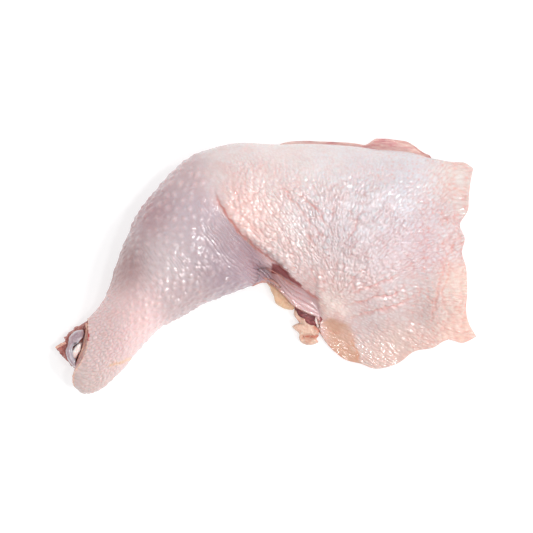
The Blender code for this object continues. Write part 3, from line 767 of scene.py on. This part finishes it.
def skin_looks(at, angle, grid):
    """Fine relief of the skin in millimetres, its colour, and how wet it is, at every point of the grid."""
    skin = SkinMap(at, angle, grid)
    bumps, upper = goose_bumps(skin)
    height, creased, tops = thigh_crepe(skin)
    bubbles = follicles(skin.spots + 0.8 * drift(skin.spots / 5, 62), BUBBLE_CELL, 47, 1.1)
    goosy = skin.drum * ramp(2.5, 6.0, skin.place) * (1 - 0.75 * skin.striped)
    relief = GOOSE_HEIGHT * goosy * bumps + BUBBLE_HEIGHT * skin.bubbly * bubbles + height + swells(skin)
    for pattern, height, redness in fold_patterns(skin):
        relief = relief + height * pattern
        creased = creased + redness * (1 - pattern)
    creased = creased * (1 - 0.5 * skin.bubbly) + 0.32 * skin.bubbly * (1 - bubbles)
    sunk, line_red = long_creases(skin)
    red = np.clip(0.54 * creased + line_red + 0.9 * skin.lip_line, 0, 1)
    colour = skin_colour(skin, bumps, upper, tops, red)
    shape = grid.shape[:2]
    return (relief + sunk).reshape(shape), colour.reshape(*shape, 3), skin_wetness(skin).reshape(shape)


def put(name, data):
    """A new object in the scene."""
    thing = bpy.data.objects.new(name, data)
    bpy.context.scene.collection.objects.link(thing)
    return thing


def mesh_piece(name, points, faces, colours, extra):
    """A smooth mesh from points in millimetres, with a colour and other values at each point."""
    mesh = bpy.data.meshes.new(name)
    mesh.from_pydata((np.asarray(points) * MM).tolist(), [], faces)
    mesh.validate()
    layer = mesh.attributes.new("tint", "FLOAT_COLOR", "POINT")
    rgba = np.concatenate([np.clip(colours, 0, 1), np.ones((len(colours), 1))], -1)
    layer.data.foreach_set("color", rgba.astype(np.float32).ravel())
    for label, values in extra.items():
        layer = mesh.attributes.new(label, "FLOAT", "POINT")
        layer.data.foreach_set("value", np.asarray(values, np.float32).ravel())
    mesh.shade_smooth()
    return put(name, mesh)


def grid_faces(rows, columns, start=0, flip=False, ring=False):
    """Quads over a grid of points; with ring, the last column joins the first."""
    i, j = np.meshgrid(np.arange(rows - 1), np.arange(columns if ring else columns - 1), indexing="ij")
    k = (j + 1) % columns
    quads = np.stack([i * columns + j, i * columns + k, (i + 1) * columns + k, (i + 1) * columns + j], -1)
    quads = quads.reshape(-1, 4) + start
    return (quads[:, ::-1] if flip else quads).tolist()


def closed_faces(rows, columns):
    """Faces over rings of points, with one face over each end."""
    first, last = range(columns), range((rows - 1) * columns, rows * columns)
    return grid_faces(rows, columns, ring=True) + [list(first)[::-1], list(last)]


def rim_faces(edge, first, last, flip):
    """Triangles that join a run of the outer face's edge points to two points of the lining."""
    half = len(edge) // 2
    faces = [(a, b, first) for a, b in zip(edge[:half], edge[1 : half + 1])]
    faces.append((edge[half], last, first))
    faces += [(a, b, last) for a, b in zip(edge[half:-1], edge[half + 1 :])]
    return [face[::-1] for face in faces] if flip else faces


def carry(piece, node, material):
    """The piece stands for a node of the frame, with its finish."""
    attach(piece, "root")
    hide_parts(node)
    piece.data.materials.clear()
    piece.data.materials.append(material)


class Nodes:
    """Short calls for building one material's nodes."""

    def __init__(self, name):
        self.material = bpy.data.materials.new(name)
        self.material.use_nodes = True
        self.tree = self.material.node_tree
        self.shader = self.tree.nodes["Principled BSDF"]

    def add(self, kind, **settings):
        node = self.tree.nodes.new(kind)
        for key, value in settings.items():
            setattr(node, key, value)
        return node

    def link(self, out, socket):
        self.tree.links.new(out, socket)

    def noise(self, size, detail=3.0, roughness=0.55, stretch=(1, 1, 1)):
        """Noise with waves of the given size in millimetres."""
        place = self.add("ShaderNodeTexCoord")
        scale = self.add("ShaderNodeMapping")
        scale.inputs["Scale"].default_value = [s / (size * MM) for s in stretch]
        texture = self.add("ShaderNodeTexNoise")
        texture.inputs["Scale"].default_value = 1.0
        texture.inputs["Detail"].default_value = detail
        texture.inputs["Roughness"].default_value = roughness
        self.link(place.outputs["Object"], scale.inputs["Vector"])
        self.link(scale.outputs["Vector"], texture.inputs["Vector"])
        return texture.outputs["Fac"]

    def spread(self, value, low, high, to_low, to_high):
        """Rescale a value from one range to another, within its ends."""
        node = self.add("ShaderNodeMapRange")
        for socket, number in zip(("From Min", "From Max", "To Min", "To Max"), (low, high, to_low, to_high)):
            node.inputs[socket].default_value = number
        self.link(value, node.inputs["Value"])
        return node.outputs["Result"]

    def mix(self, factor, a, b, kind="MIX"):
        node = self.add("ShaderNodeMix", data_type="RGBA", blend_type=kind)
        for socket, value in ((node.inputs["Factor"], factor), (node.inputs["A"], a), (node.inputs["B"], b)):
            if isinstance(value, bpy.types.NodeSocket):
                self.link(value, socket)
            else:
                socket.default_value = (*value, 1)
        return node.outputs["Result"]

    def attribute(self, name, output="Color"):
        node = self.add("ShaderNodeAttribute", attribute_name=name)
        return node.outputs[output]

    def bump(self, height, distance, after=None):
        """A bump as deep as distance, in millimetres."""
        node = self.add("ShaderNodeBump")
        node.inputs["Distance"].default_value = distance * MM
        node.inputs["Strength"].default_value = 1.0
        self.link(height, node.inputs["Height"])
        if after:
            self.link(after, node.inputs["Normal"])
        return node.outputs["Normal"]

    def finish(self, colour, roughness, normal, soft, soft_depth, coat, coat_roughness, coat_ior=1.5):
        """Connect the shader: soft is the share of light that goes into the flesh, soft_depth how deep."""
        shader = self.shader
        self.link(colour, shader.inputs["Base Color"])
        self.link(roughness, shader.inputs["Roughness"])
        self.link(normal, shader.inputs["Normal"])
        self.link(normal, shader.inputs["Coat Normal"])
        shader.inputs["IOR"].default_value = 1.4
        shader.inputs["Subsurface Weight"].default_value = soft
        shader.inputs["Subsurface Radius"].default_value = (1.0, 0.45, 0.35)
        shader.inputs["Subsurface Scale"].default_value = soft_depth * MM
        if isinstance(coat, bpy.types.NodeSocket):
            self.link(coat, shader.inputs["Coat Weight"])
        else:
            shader.inputs["Coat Weight"].default_value = coat
        shader.inputs["Coat Roughness"].default_value = coat_roughness
        shader.inputs["Coat IOR"].default_value = coat_ior
        return self.material


def skin_material():
    """Moist skin: the tint of each place, a fine mottle, and a film as strong as each place is wet."""
    n = Nodes("moist_skin")
    mottles = n.spread(n.noise(2.6, 4), 0.35, 0.7, 0.0, 0.45)
    mottled = n.mix(mottles, n.attribute("tint"), (0.97, 0.87, 0.85), "MULTIPLY")
    veins = n.spread(n.noise(0.9, 3), 0.4, 0.75, 0.0, 0.45)
    veined = n.mix(veins, mottled, (0.94, 0.80, 0.77), "MULTIPLY")
    rough = n.spread(n.noise(4.5, 3), 0.3, 0.7, 0.32, 0.48)
    grain = n.bump(n.noise(0.75, 3, 0.6), 0.02)
    pores = n.bump(n.noise(2.4, 2, 0.5), 0.07, after=grain)
    wet = n.attribute("wet", "Fac")
    film = n.spread(wet, 0.0, 1.0, 0.0, 0.9)
    n.link(n.spread(wet, 0.0, 1.0, 0.12, 0.5), n.shader.inputs["Specular IOR Level"])
    return n.finish(veined, rough, pores, 0.5, 0.9, film, coat_roughness=0.10, coat_ior=1.8)


def meat_material(name, light, dark, soft_depth=1.5, coat=0.5, fibre=(1, 1, 1)):
    """Moist meat or fat between two colours; fibre stretches the noise along its fibres."""
    n = Nodes(name)
    light, dark = linear(*light), linear(*dark)
    threads = n.noise(1.1, 4, 0.6, fibre)
    base = n.mix(n.spread(threads, 0.38, 0.66, 0.0, 1.0), dark, light)
    patched = n.mix(n.spread(n.noise(7.0, 3), 0.4, 0.65, 0.0, 0.5), base, light)
    shaded = n.mix(n.attribute("shade", "Fac"), patched, n.attribute("tint"))
    rough = n.spread(n.noise(3.0, 2), 0.3, 0.7, 0.28, 0.5)
    normal = n.bump(threads, 0.35)
    return n.finish(shaded, rough, normal, 0.25, soft_depth, coat, coat_roughness=0.12)


def evened_skin(at, angle):
    """The leg's outer surface, evened out where the thigh runs into the bend and the loose skin."""
    grid = skin_surface(at, angle)
    height, across = grid[..., 2], np.cos(angle)
    run_out = ramp(14.8, 17.4, at) * ramp(0.15, -0.35, across)
    height += run_out * (smoothed(height, SKIN_COLUMNS / WIDE) - height)
    corner = ramp(14.5, 16.0, at) * ramp(21.0, 19.0, at) * ramp(0.1, -0.3, across) * (np.sin(angle) > 0)
    corner = corner * ramp(FOLD[-3][0], FOLD[-2][0], grid[..., 0])
    filled = np.maximum(height, smoothed(height.T, SKIN_ROWS / WIDE).T)
    height += corner * (filled - height)
    loose = ramp(21.0, 23.0, at)
    height += loose * (smoothed(height.T, SKIN_ROWS / NARROW).T - height)
    return grid


def stitched(rows, columns, lining_rows, lining_columns):
    """Faces of the outer skin, of its lining, and of the strips that join them all round."""
    start = rows * columns
    faces = grid_faces(rows, columns) + grid_faces(lining_rows, lining_columns, start, flip=True)

    def outer_strip(first, step):
        return [first + k * step for k in range(LINING_STEP + 1)]

    for i in range(lining_rows - 1):
        for j, far in ((0, 0), (lining_columns - 1, columns - 1)):
            strip = outer_strip(i * LINING_STEP * columns + far, columns)
            first = start + i * lining_columns + j
            faces += rim_faces(strip, first, first + lining_columns, flip=j > 0)
    for j in range(lining_columns - 1):
        for i, far in ((0, 0), (lining_rows - 1, rows - 1)):
            strip = outer_strip(far * columns + j * LINING_STEP, 1)
            first = start + i * lining_columns + j
            faces += rim_faces(strip, first, first + 1, flip=i == 0)
    return faces


def make_skin():
    """The skin: a fine outer face with its folds and goose bumps, and a plainer lining behind it."""
    at, angle = skin_grid()
    base = evened_skin(at, angle)
    out = normals_of(base)
    if out[SKIN_ROWS // 2, SKIN_COLUMNS // 2, 2] < 0:
        out = -out
    relief, colour, wet = skin_looks(at, angle, base)
    v = np.linspace(0, 1, SKIN_COLUMNS + 1)[None, :]
    inward = ramp(0.0, 0.012, v) * ramp(1.0, 0.988, v)
    outer = base + out * ((relief - RELIEF_LEVEL) * (0.25 + 0.75 * inward))[..., None]
    outer[..., 2] = np.maximum(outer[..., 2], FLOOR)
    thinned = (slice(None, None, LINING_STEP), slice(None, None, LINING_STEP))
    near_fold, fold_depth = fold_distance(base[thinned][..., :2])
    pinched = hill(near_fold, 0, 7.0) * ramp(0.5, 2.0, fold_depth)
    pinched = np.maximum(pinched, ramp(1.2, 0.0, at[thinned]))
    inner = base[thinned] - out[thinned] * (LINING_DEPTH - PINCH * pinched)[..., None]
    inner[..., 2] = np.maximum(inner[..., 2], FLOOR)
    faces = stitched(*outer.shape[:2], *inner.shape[:2])
    points = np.concatenate([outer.reshape(-1, 3), inner.reshape(-1, 3)])
    # the lining at the hock's cut end is painted paler, to lift the shade on that end face
    hock_end = ramp(1.5, 0.3, at[thinned]).ravel()
    lining = mixed(linear(*LINING), hock_end, linear(*HOCK_LINING_PAINTED_PALE))
    colours = np.concatenate([colour.reshape(-1, 3), lining])
    wetness = np.concatenate([wet.ravel(), np.full(len(lining), 0.5)])
    piece = mesh_piece("skin_folds", points, faces, colours, {"wet": wetness})
    carry(piece, "skin", skin_material())


def make_meat():
    """The meat under the skin, bare along the knee side, in the bend and underneath."""
    rows, columns = ((300, 180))
    at = even_rows(rows, MEAT_END)[:, None]
    angle = np.linspace(0, 2 * math.pi, columns + 1)[None, :-1]
    at, angle = at + 0 * angle, angle + 0 * at
    base = meat_surface(at, angle)
    out = normals_of(np.concatenate([base, base[:, :1]], axis=1))[:, :-1]
    if out[rows // 2, columns // 4, 2] < 0:
        out = -out
    flat = base.reshape(-1, 3)
    # Millimetres along the leg and round it, nearly
    spots = np.stack([at.ravel() * 9.0, angle.ravel() * 30.0], -1)
    fibre = clouds(spots / (14, 1.6), 201, 2)
    lump = clouds(flat / 11, 202, 2)
    bare = ramp(0.2, -0.1, np.sin(angle)).ravel()
    relief = bare * (0.22 * fibre + 0.5 * lump - 0.55)
    points = flat + out.reshape(-1, 3) * relief[:, None]
    points[:, 2] = np.maximum(points[:, 2], 0.0)
    # White and yellow seams of fat and fascia between the muscles
    seam = ramp(0.24, 0.02, np.abs(clouds(spots / (40, 13), 203, 2)))
    knee_side = (np.cos(angle).ravel() > 0) & (np.abs(np.sin(angle).ravel()) < 0.75)
    seam = np.where(knee_side, np.clip(0.55 * seam + 0.35 * ramp(0.1, 0.6, fibre), 0, 1), seam)
    colour = np.tile(linear(*FASCIA), (len(points), 1))
    faces = closed_faces(rows, columns)
    piece = mesh_piece("thigh_and_drum_meat", points, faces, colour, {"shade": seam * 0.75})
    material = meat_material("moist_meat", (226, 194, 184), (192, 116, 122), fibre=(0.12, 1, 1))
    carry(piece, "meat", material)


def cushion(outline, low, high, around, levels, square, relief=None):
    """Points of a rounded solid over an outline, low to high, with steeper sides at a lower square."""
    outline = np.array(on_photo(outline))
    centre = outline.mean(0)
    closed = np.concatenate([outline[-2:], outline, outline[:3]])
    edge = spline(closed, 2 + np.linspace(0, len(outline), around + 1)[:-1])
    rings = []
    for tilt in np.linspace(-0.97, 0.97, levels) * math.pi / 2:
        flat = centre + (edge - centre) * math.cos(tilt) ** square
        height = (low + high) / 2 + (high - low) / 2 * math.sin(tilt) + np.zeros(around)
        if relief and tilt > 0:
            height = height + relief(flat) * math.sin(tilt)
        rings.append(np.concatenate([flat, height[:, None]], -1))
    return np.array(rings)


def lumpy(rings, size, deep, salt):
    """Press a ring grid's points in along their normals, by up to twice the depth, by a random field."""
    joined = np.concatenate([rings[:, -1:], rings, rings[:, :1]], axis=1)
    out = normals_of(joined)[:, 1:-1]
    middle = rings.reshape(-1, 3).mean(0)
    if ((rings - middle) * out).sum() < 0:
        out = -out
    field = clouds(rings.reshape(-1, 3) / size, salt, 3).reshape(rings.shape[:2])
    return rings + out * (deep * (field - 1))[..., None]


# Outlines of the small pieces, as pixels of the photograph
FAT_FLAP = (
    (262, 276), (268, 276), (276, 281), (283, 286), (289, 293), (295, 300), (296, 307), (293.6, 310),
    (286.4, 310), (278.6, 306.4), (274, 302), (272.5, 296), (268.6, 288), (264.3, 282),
)
FAT_LOBES = (
    (294, 308.5), (298, 311), (302, 315), (306.5, 319.5), (310, 323), (315, 324), (318, 327),
    (320, 331), (319.5, 336), (317.5, 339), (318.8, 342), (315, 345), (308, 346), (301.4, 343.6),
    (298.4, 339), (298.6, 334), (294.5, 330), (291.6, 326.4), (295, 323.6), (299.5, 322.2),
    (298, 320.3), (294.3, 317), (293, 312.5),
)
BEND_MEAT = (
    (294, 303), (302, 305), (311, 309), (318, 313), (324, 318), (323, 322.5), (319, 325), (313.5, 327),
    (307.5, 325), (301.5, 320), (295.5, 313),
)
HOCK_FLESH = (
    (91, 318), (86, 321), (76, 325.8), (69, 330.5), (64, 336), (62.5, 341), (58.6, 344), (54.3, 348.5),
    (59, 354), (65.5, 361), (74, 369), (80, 371), (89, 345),
)
CARTILAGE = (
    (73.6, 331.4), (79.3, 329.4), (84, 329.2), (84.8, 333.6), (83.6, 337.6), (79.3, 340.2),
    (75.7, 342.8), (72.4, 346), (71.2, 351), (71.8, 357), (74.6, 362), (77.2, 365.3), (75.7, 368.4),
    (71.2, 365), (66.6, 358), (65.2, 351.4), (67, 346.5), (68.2, 341), (69, 336.5),
)
TENDON_PAD = (
    (80.5, 341.8), (82.5, 344.5), (81.5, 350), (78.8, 355), (76.2, 359.6), (73.2, 359.8), (71.8, 355.2),
    (72.8, 349), (76, 344.4),
)
FLAP_EDGE = ((262, 277), (273, 281.5), (281, 286.5), (288, 294), (295, 302))
LOBE_CREASE = ((303, 337), (308, 336), (314, 337.2), (320, 335.6))
LOBE_CORNER = ((315, 327), (319, 331))
LOBE_TOP = ((295, 318), (300, 322))
# Strands: pixels of the photograph with a height in millimetres, and each strand's radius
FASCIA_STRAND = ((316.2, 315, 6.6), (315.8, 320, 7.0), (317.5, 325, 6.4), (320.3, 331, 4.6)), 0.75
RIM_PATH = (
    (86.6, 322, 17.5), (87.2, 331, 17), (86, 341, 16.5), (83, 351, 16), (79.6, 361, 15), (77.3, 368, 13.5)
)
INNER_PATH = ((85.2, 339, 17.2), (84.2, 346, 17.4), (81.4, 354, 17.2), (78.2, 361.5, 16.2), (76.4, 366, 15.2))
OUTER_PATH = ((67.5, 343, 14.5), (63, 344, 14.5), (59, 345.8, 13.5), (55.6, 348.5, 12))
HOCK_STRANDS = {
    "rim_strand": (RIM_PATH, 1.1),
    "inner_strand": (INNER_PATH, 0.9),
    "outer_rim": (OUTER_PATH, 1.0),
}
HOCK_END = -114.0  # the flesh reaches no further


def tube(path, radius, steps=60, around=20):
    """Rings of points round a path given in pixels of the photograph and a height, thinner at its ends."""
    at = np.linspace(0, len(path) - 1, steps)
    line = spline([(*photo(x, y), z) for x, y, z in path], at)
    run = unit(np.gradient(line, axis=0))
    level = unit(np.cross(run, (0, 0, 1)))
    rise = np.cross(level, run)
    taper = np.clip(1 - np.abs(2 * at / at[-1] - 1) ** 4, 0.03, None) ** 0.5
    turn = np.linspace(0, 2 * math.pi, around + 1)[:-1][None, :, None]
    round_it = np.cos(turn) * level[:, None] + np.sin(turn) * rise[:, None]
    return line[:, None] + radius * taper[:, None, None] * round_it


def soft_piece(name, node, rings, deep, size, salt, tint, shade, material):
    """A small soft piece with a lumpy surface; shade is the share of tint at each point."""
    rings = lumpy(rings, size, deep, salt)
    spots = rings.reshape(-1, 3)
    colours = np.tile(linear(*tint), (len(spots), 1))
    faces = closed_faces(*rings.shape[:2])
    piece = mesh_piece(name, spots, faces, colours, {"shade": np.clip(shade(spots), 0, 1)})
    carry(piece, node, material)


def line_hill(spots, path, width, centre=0.0):
    """1 on a line given in pixels of the photograph, falling to 0 beside it."""
    away, _ = line_distance(spots[:, :2], on_photo(path))
    return hill(away, centre, width)


def make_fat():
    """Yellow and cream fat in the bend."""

    def lobe_relief(flat):
        return 0.8 * clouds(flat / 2.6, 405) - 2.4 * line_hill(flat, LOBE_CREASE, 0.9)

    def flap_shade(spots):
        return 0.85 * line_hill(spots, FLAP_EDGE, 1.0) + 0.25 * ramp(0.0, 0.8, clouds(spots / 4, 402, 2))

    def lobe_shade(spots):
        vein = ramp(0.14, 0.0, np.abs(clouds(spots / 4, 412, 2)))
        corners = 0.7 * line_hill(spots, LOBE_CORNER, 0.9) + 0.5 * line_hill(spots, LOBE_TOP, 0.6)
        return 0.9 * line_hill(spots, LOBE_CREASE, 0.55) + corners + 0.3 * vein

    flap = cushion(FAT_FLAP, 0.0, 7.4, 110, 46, 0.4)
    yellow = meat_material("yellow_fat", (236, 200, 168), (226, 184, 146), 2.0, 0.35)
    soft_piece("yellow_fat_flap", "fat_flap", flap, 0.4, 3.5, 401, (178, 126, 100), flap_shade, yellow)
    lobes = cushion(FAT_LOBES, 0.0, 6.6, 170, 60, 0.25, lobe_relief)
    cream = meat_material("cream_fat", (228, 196, 176), (214, 172, 150), 2.0, 0.45)
    soft_piece("cream_fat_lobes", "fat_lobes", lobes, 0.4, 2.6, 411, (206, 112, 92), lobe_shade, cream)


def make_bend_meat():
    """The dark meat that shows under the band of skin, with a white strand of fascia at its end."""

    def streaks(spots):
        return 0.3 * ramp(0.1, 0.6, clouds(turned(spots[:, :2], -35) / (5, 1.1), 423))

    def rosy(spots):
        return 0.2 * hill(spots[:, 2], 5, 0.8)

    strip = cushion(BEND_MEAT, 0.0, 6.6, 110, 44, 0.25)
    dark = meat_material("dark_meat", (148, 70, 70), (100, 40, 46), 1.0, fibre=(0.4, 1, 1))
    soft_piece("dark_bend_meat", "bend_meat", strip, 0.25, 2.6, 421, (180, 108, 104), streaks, dark)
    strand = tube(*FASCIA_STRAND)
    white = meat_material("white_fascia", (238, 220, 214), (222, 196, 190), 1.0)
    soft_piece("fascia_strand", "bend_meat", strand, 0.3, 1.2, 425, (206, 150, 144), rosy, white)


def make_hock():
    """The joint's end: red-brown flesh, a grey C of cartilage, a pale tendon pad and strands by the skin."""

    def pale(spots):
        return 0.45 * ramp(0.3, 0.85, clouds(spots / 2.6, 432, 2))

    flesh = cushion(HOCK_FLESH, 3.0, 14.0, 150, 60, 0.35)
    flesh[..., 0] = np.maximum(flesh[..., 0], HOCK_END)
    red = meat_material("red_flesh", (200, 120, 108), (126, 48, 42), 1.0, 0.6)
    soft_piece("hock_end_flesh", "hock_flesh", flesh, 0.9, 2.4, 431, (196, 140, 126), pale, red)
    tan = meat_material("tan_fascia", (238, 196, 176), (204, 142, 126), 1.0)
    for name, strand in HOCK_STRANDS.items():
        soft_piece(name, "hock_flesh", tube(*strand), 0.3, 1.6, 435, (168, 84, 76), pale, tan)

    def edging(spots):
        edge = line_hill(spots, CARTILAGE + CARTILAGE[:1], 0.55, 0.4)
        return 0.75 * edge + 0.35 * ramp(0.2, 0.8, clouds(spots / 3, 442, 2))

    cap = cushion(CARTILAGE, 8.0, 17.0, 170, 60, 0.28)
    grey = meat_material("grey_cartilage", (188, 162, 168), (152, 126, 136), 2.0, 0.9)
    tint = (222, 212, 218)
    soft_piece("hock_cartilage_cap", "hock_cartilage", cap, 0.3, 3.0, 441, tint, edging, grey)

    def pad_shade(spots):
        return 0.7 * ramp(-45.5, -50.5, spots[:, 1]) + 0.2 * ramp(0.0, 0.7, clouds(spots / 2, 452, 2))

    pad = cushion(TENDON_PAD, 8.5, 18.2, 90, 44, 0.35)
    white = meat_material("white_tendon", (252, 240, 236), (242, 220, 214), 2.0, 0.6)
    soft_piece("white_tendon_pad", "tendon_pad", pad, 0.3, 2.2, 451, (224, 174, 164), pad_shade, white)


# Camera and studio, in metres
PHOTO_SIZE = 533  # pixels across the photograph
FIELD = PHOTO_SIZE * PHOTO_SCALE * MM  # width of the view at the leg
LEG_LEVEL = 0.01  # height at which the view is that wide
CAMERA_HEIGHT = 3.2  # above that height
LENS = 200.0  # focal length in millimetres
FAR_CLIP = 10
TABLE_HALF = 3.0
TABLE_DROP = 0.0002
TABLE_GREY = 0.50
TABLE_GLOW = 0.60
SKY = (0.97, 0.98, 1.0, 1)
SKY_STRENGTH = 0.655
AIM = Vector((0, 0, 0.02))  # the lights point here

# Each light's name, place, width, power in watts and colour
LIGHTS = (
    ("key_low", (0.75, -0.50, 1.15), 0.18, 4.6, (1.0, 0.985, 0.97)),
    ("key_high", (0.70, 0.40, 1.20), 0.17, 4.1, (1.0, 0.99, 0.98)),
    ("top", (0.36, -0.02, 1.50), 0.13, 3.0, (1, 1, 1)),
    ("side", (1.45, 0.15, 0.62), 0.22, 3.6, (1, 1, 1)),
    ("fill", (-0.9, 0.5, 1.2), 1.0, 1.5, (0.97, 0.985, 1.0)),
)


def make_camera():
    """A long lens straight above the middle of the photograph."""
    data = bpy.data.cameras.new("camera")
    data.lens = LENS
    data.sensor_width = LENS * FIELD / CAMERA_HEIGHT
    data.clip_end = FAR_CLIP
    x, y = photo(PHOTO_SIZE / 2, PHOTO_SIZE / 2)
    camera = put("camera", data)
    camera.location = (x * MM, y * MM, CAMERA_HEIGHT + LEG_LEVEL)
    bpy.context.scene.camera = camera


def area_light(name, place, size, power, colour):
    data = bpy.data.lights.new(name, "AREA")
    data.shape = "DISK"
    data.size = size
    data.energy = power
    data.color = colour
    light = put(name, data)
    light.location = place
    light.rotation_euler = (AIM - Vector(place)).to_track_quat("-Z", "Y").to_euler()


def make_table():
    """A white table, lit a little from within."""
    mesh = bpy.data.meshes.new("table")
    h = TABLE_HALF
    mesh.from_pydata([(-h, -h, 0), (h, -h, 0), (h, h, 0), (-h, h, 0)], [], [(0, 1, 2, 3)])
    floor = put("table", mesh)
    floor.location.z = -TABLE_DROP
    material = bpy.data.materials.new("white_table")
    material.use_nodes = True
    shader = material.node_tree.nodes["Principled BSDF"]
    shader.inputs["Base Color"].default_value = (TABLE_GREY, TABLE_GREY, TABLE_GREY, 1)
    shader.inputs["Emission Color"].default_value = (1, 1, 1, 1)
    shader.inputs["Emission Strength"].default_value = TABLE_GLOW
    shader.inputs["Roughness"].default_value = 0.9
    shader.inputs["Specular IOR Level"].default_value = 0.1
    mesh.materials.append(material)


def make_studio():
    """Four small lights on the right, a wide faint one on the left, and a pale sky."""
    for light in LIGHTS:
        area_light(*light)
    world = bpy.data.worlds.new("studio")
    world.use_nodes = True
    background = world.node_tree.nodes["Background"]
    background.inputs["Color"].default_value = SKY
    background.inputs["Strength"].default_value = SKY_STRENGTH
    bpy.context.scene.world = world
    bpy.context.scene.view_settings.view_transform = "Standard"
    bpy.context.scene.view_settings.look = "None"


make_camera()
make_table()
make_studio()
make_skin()
make_meat()
make_fat()
make_bend_meat()
make_hock()
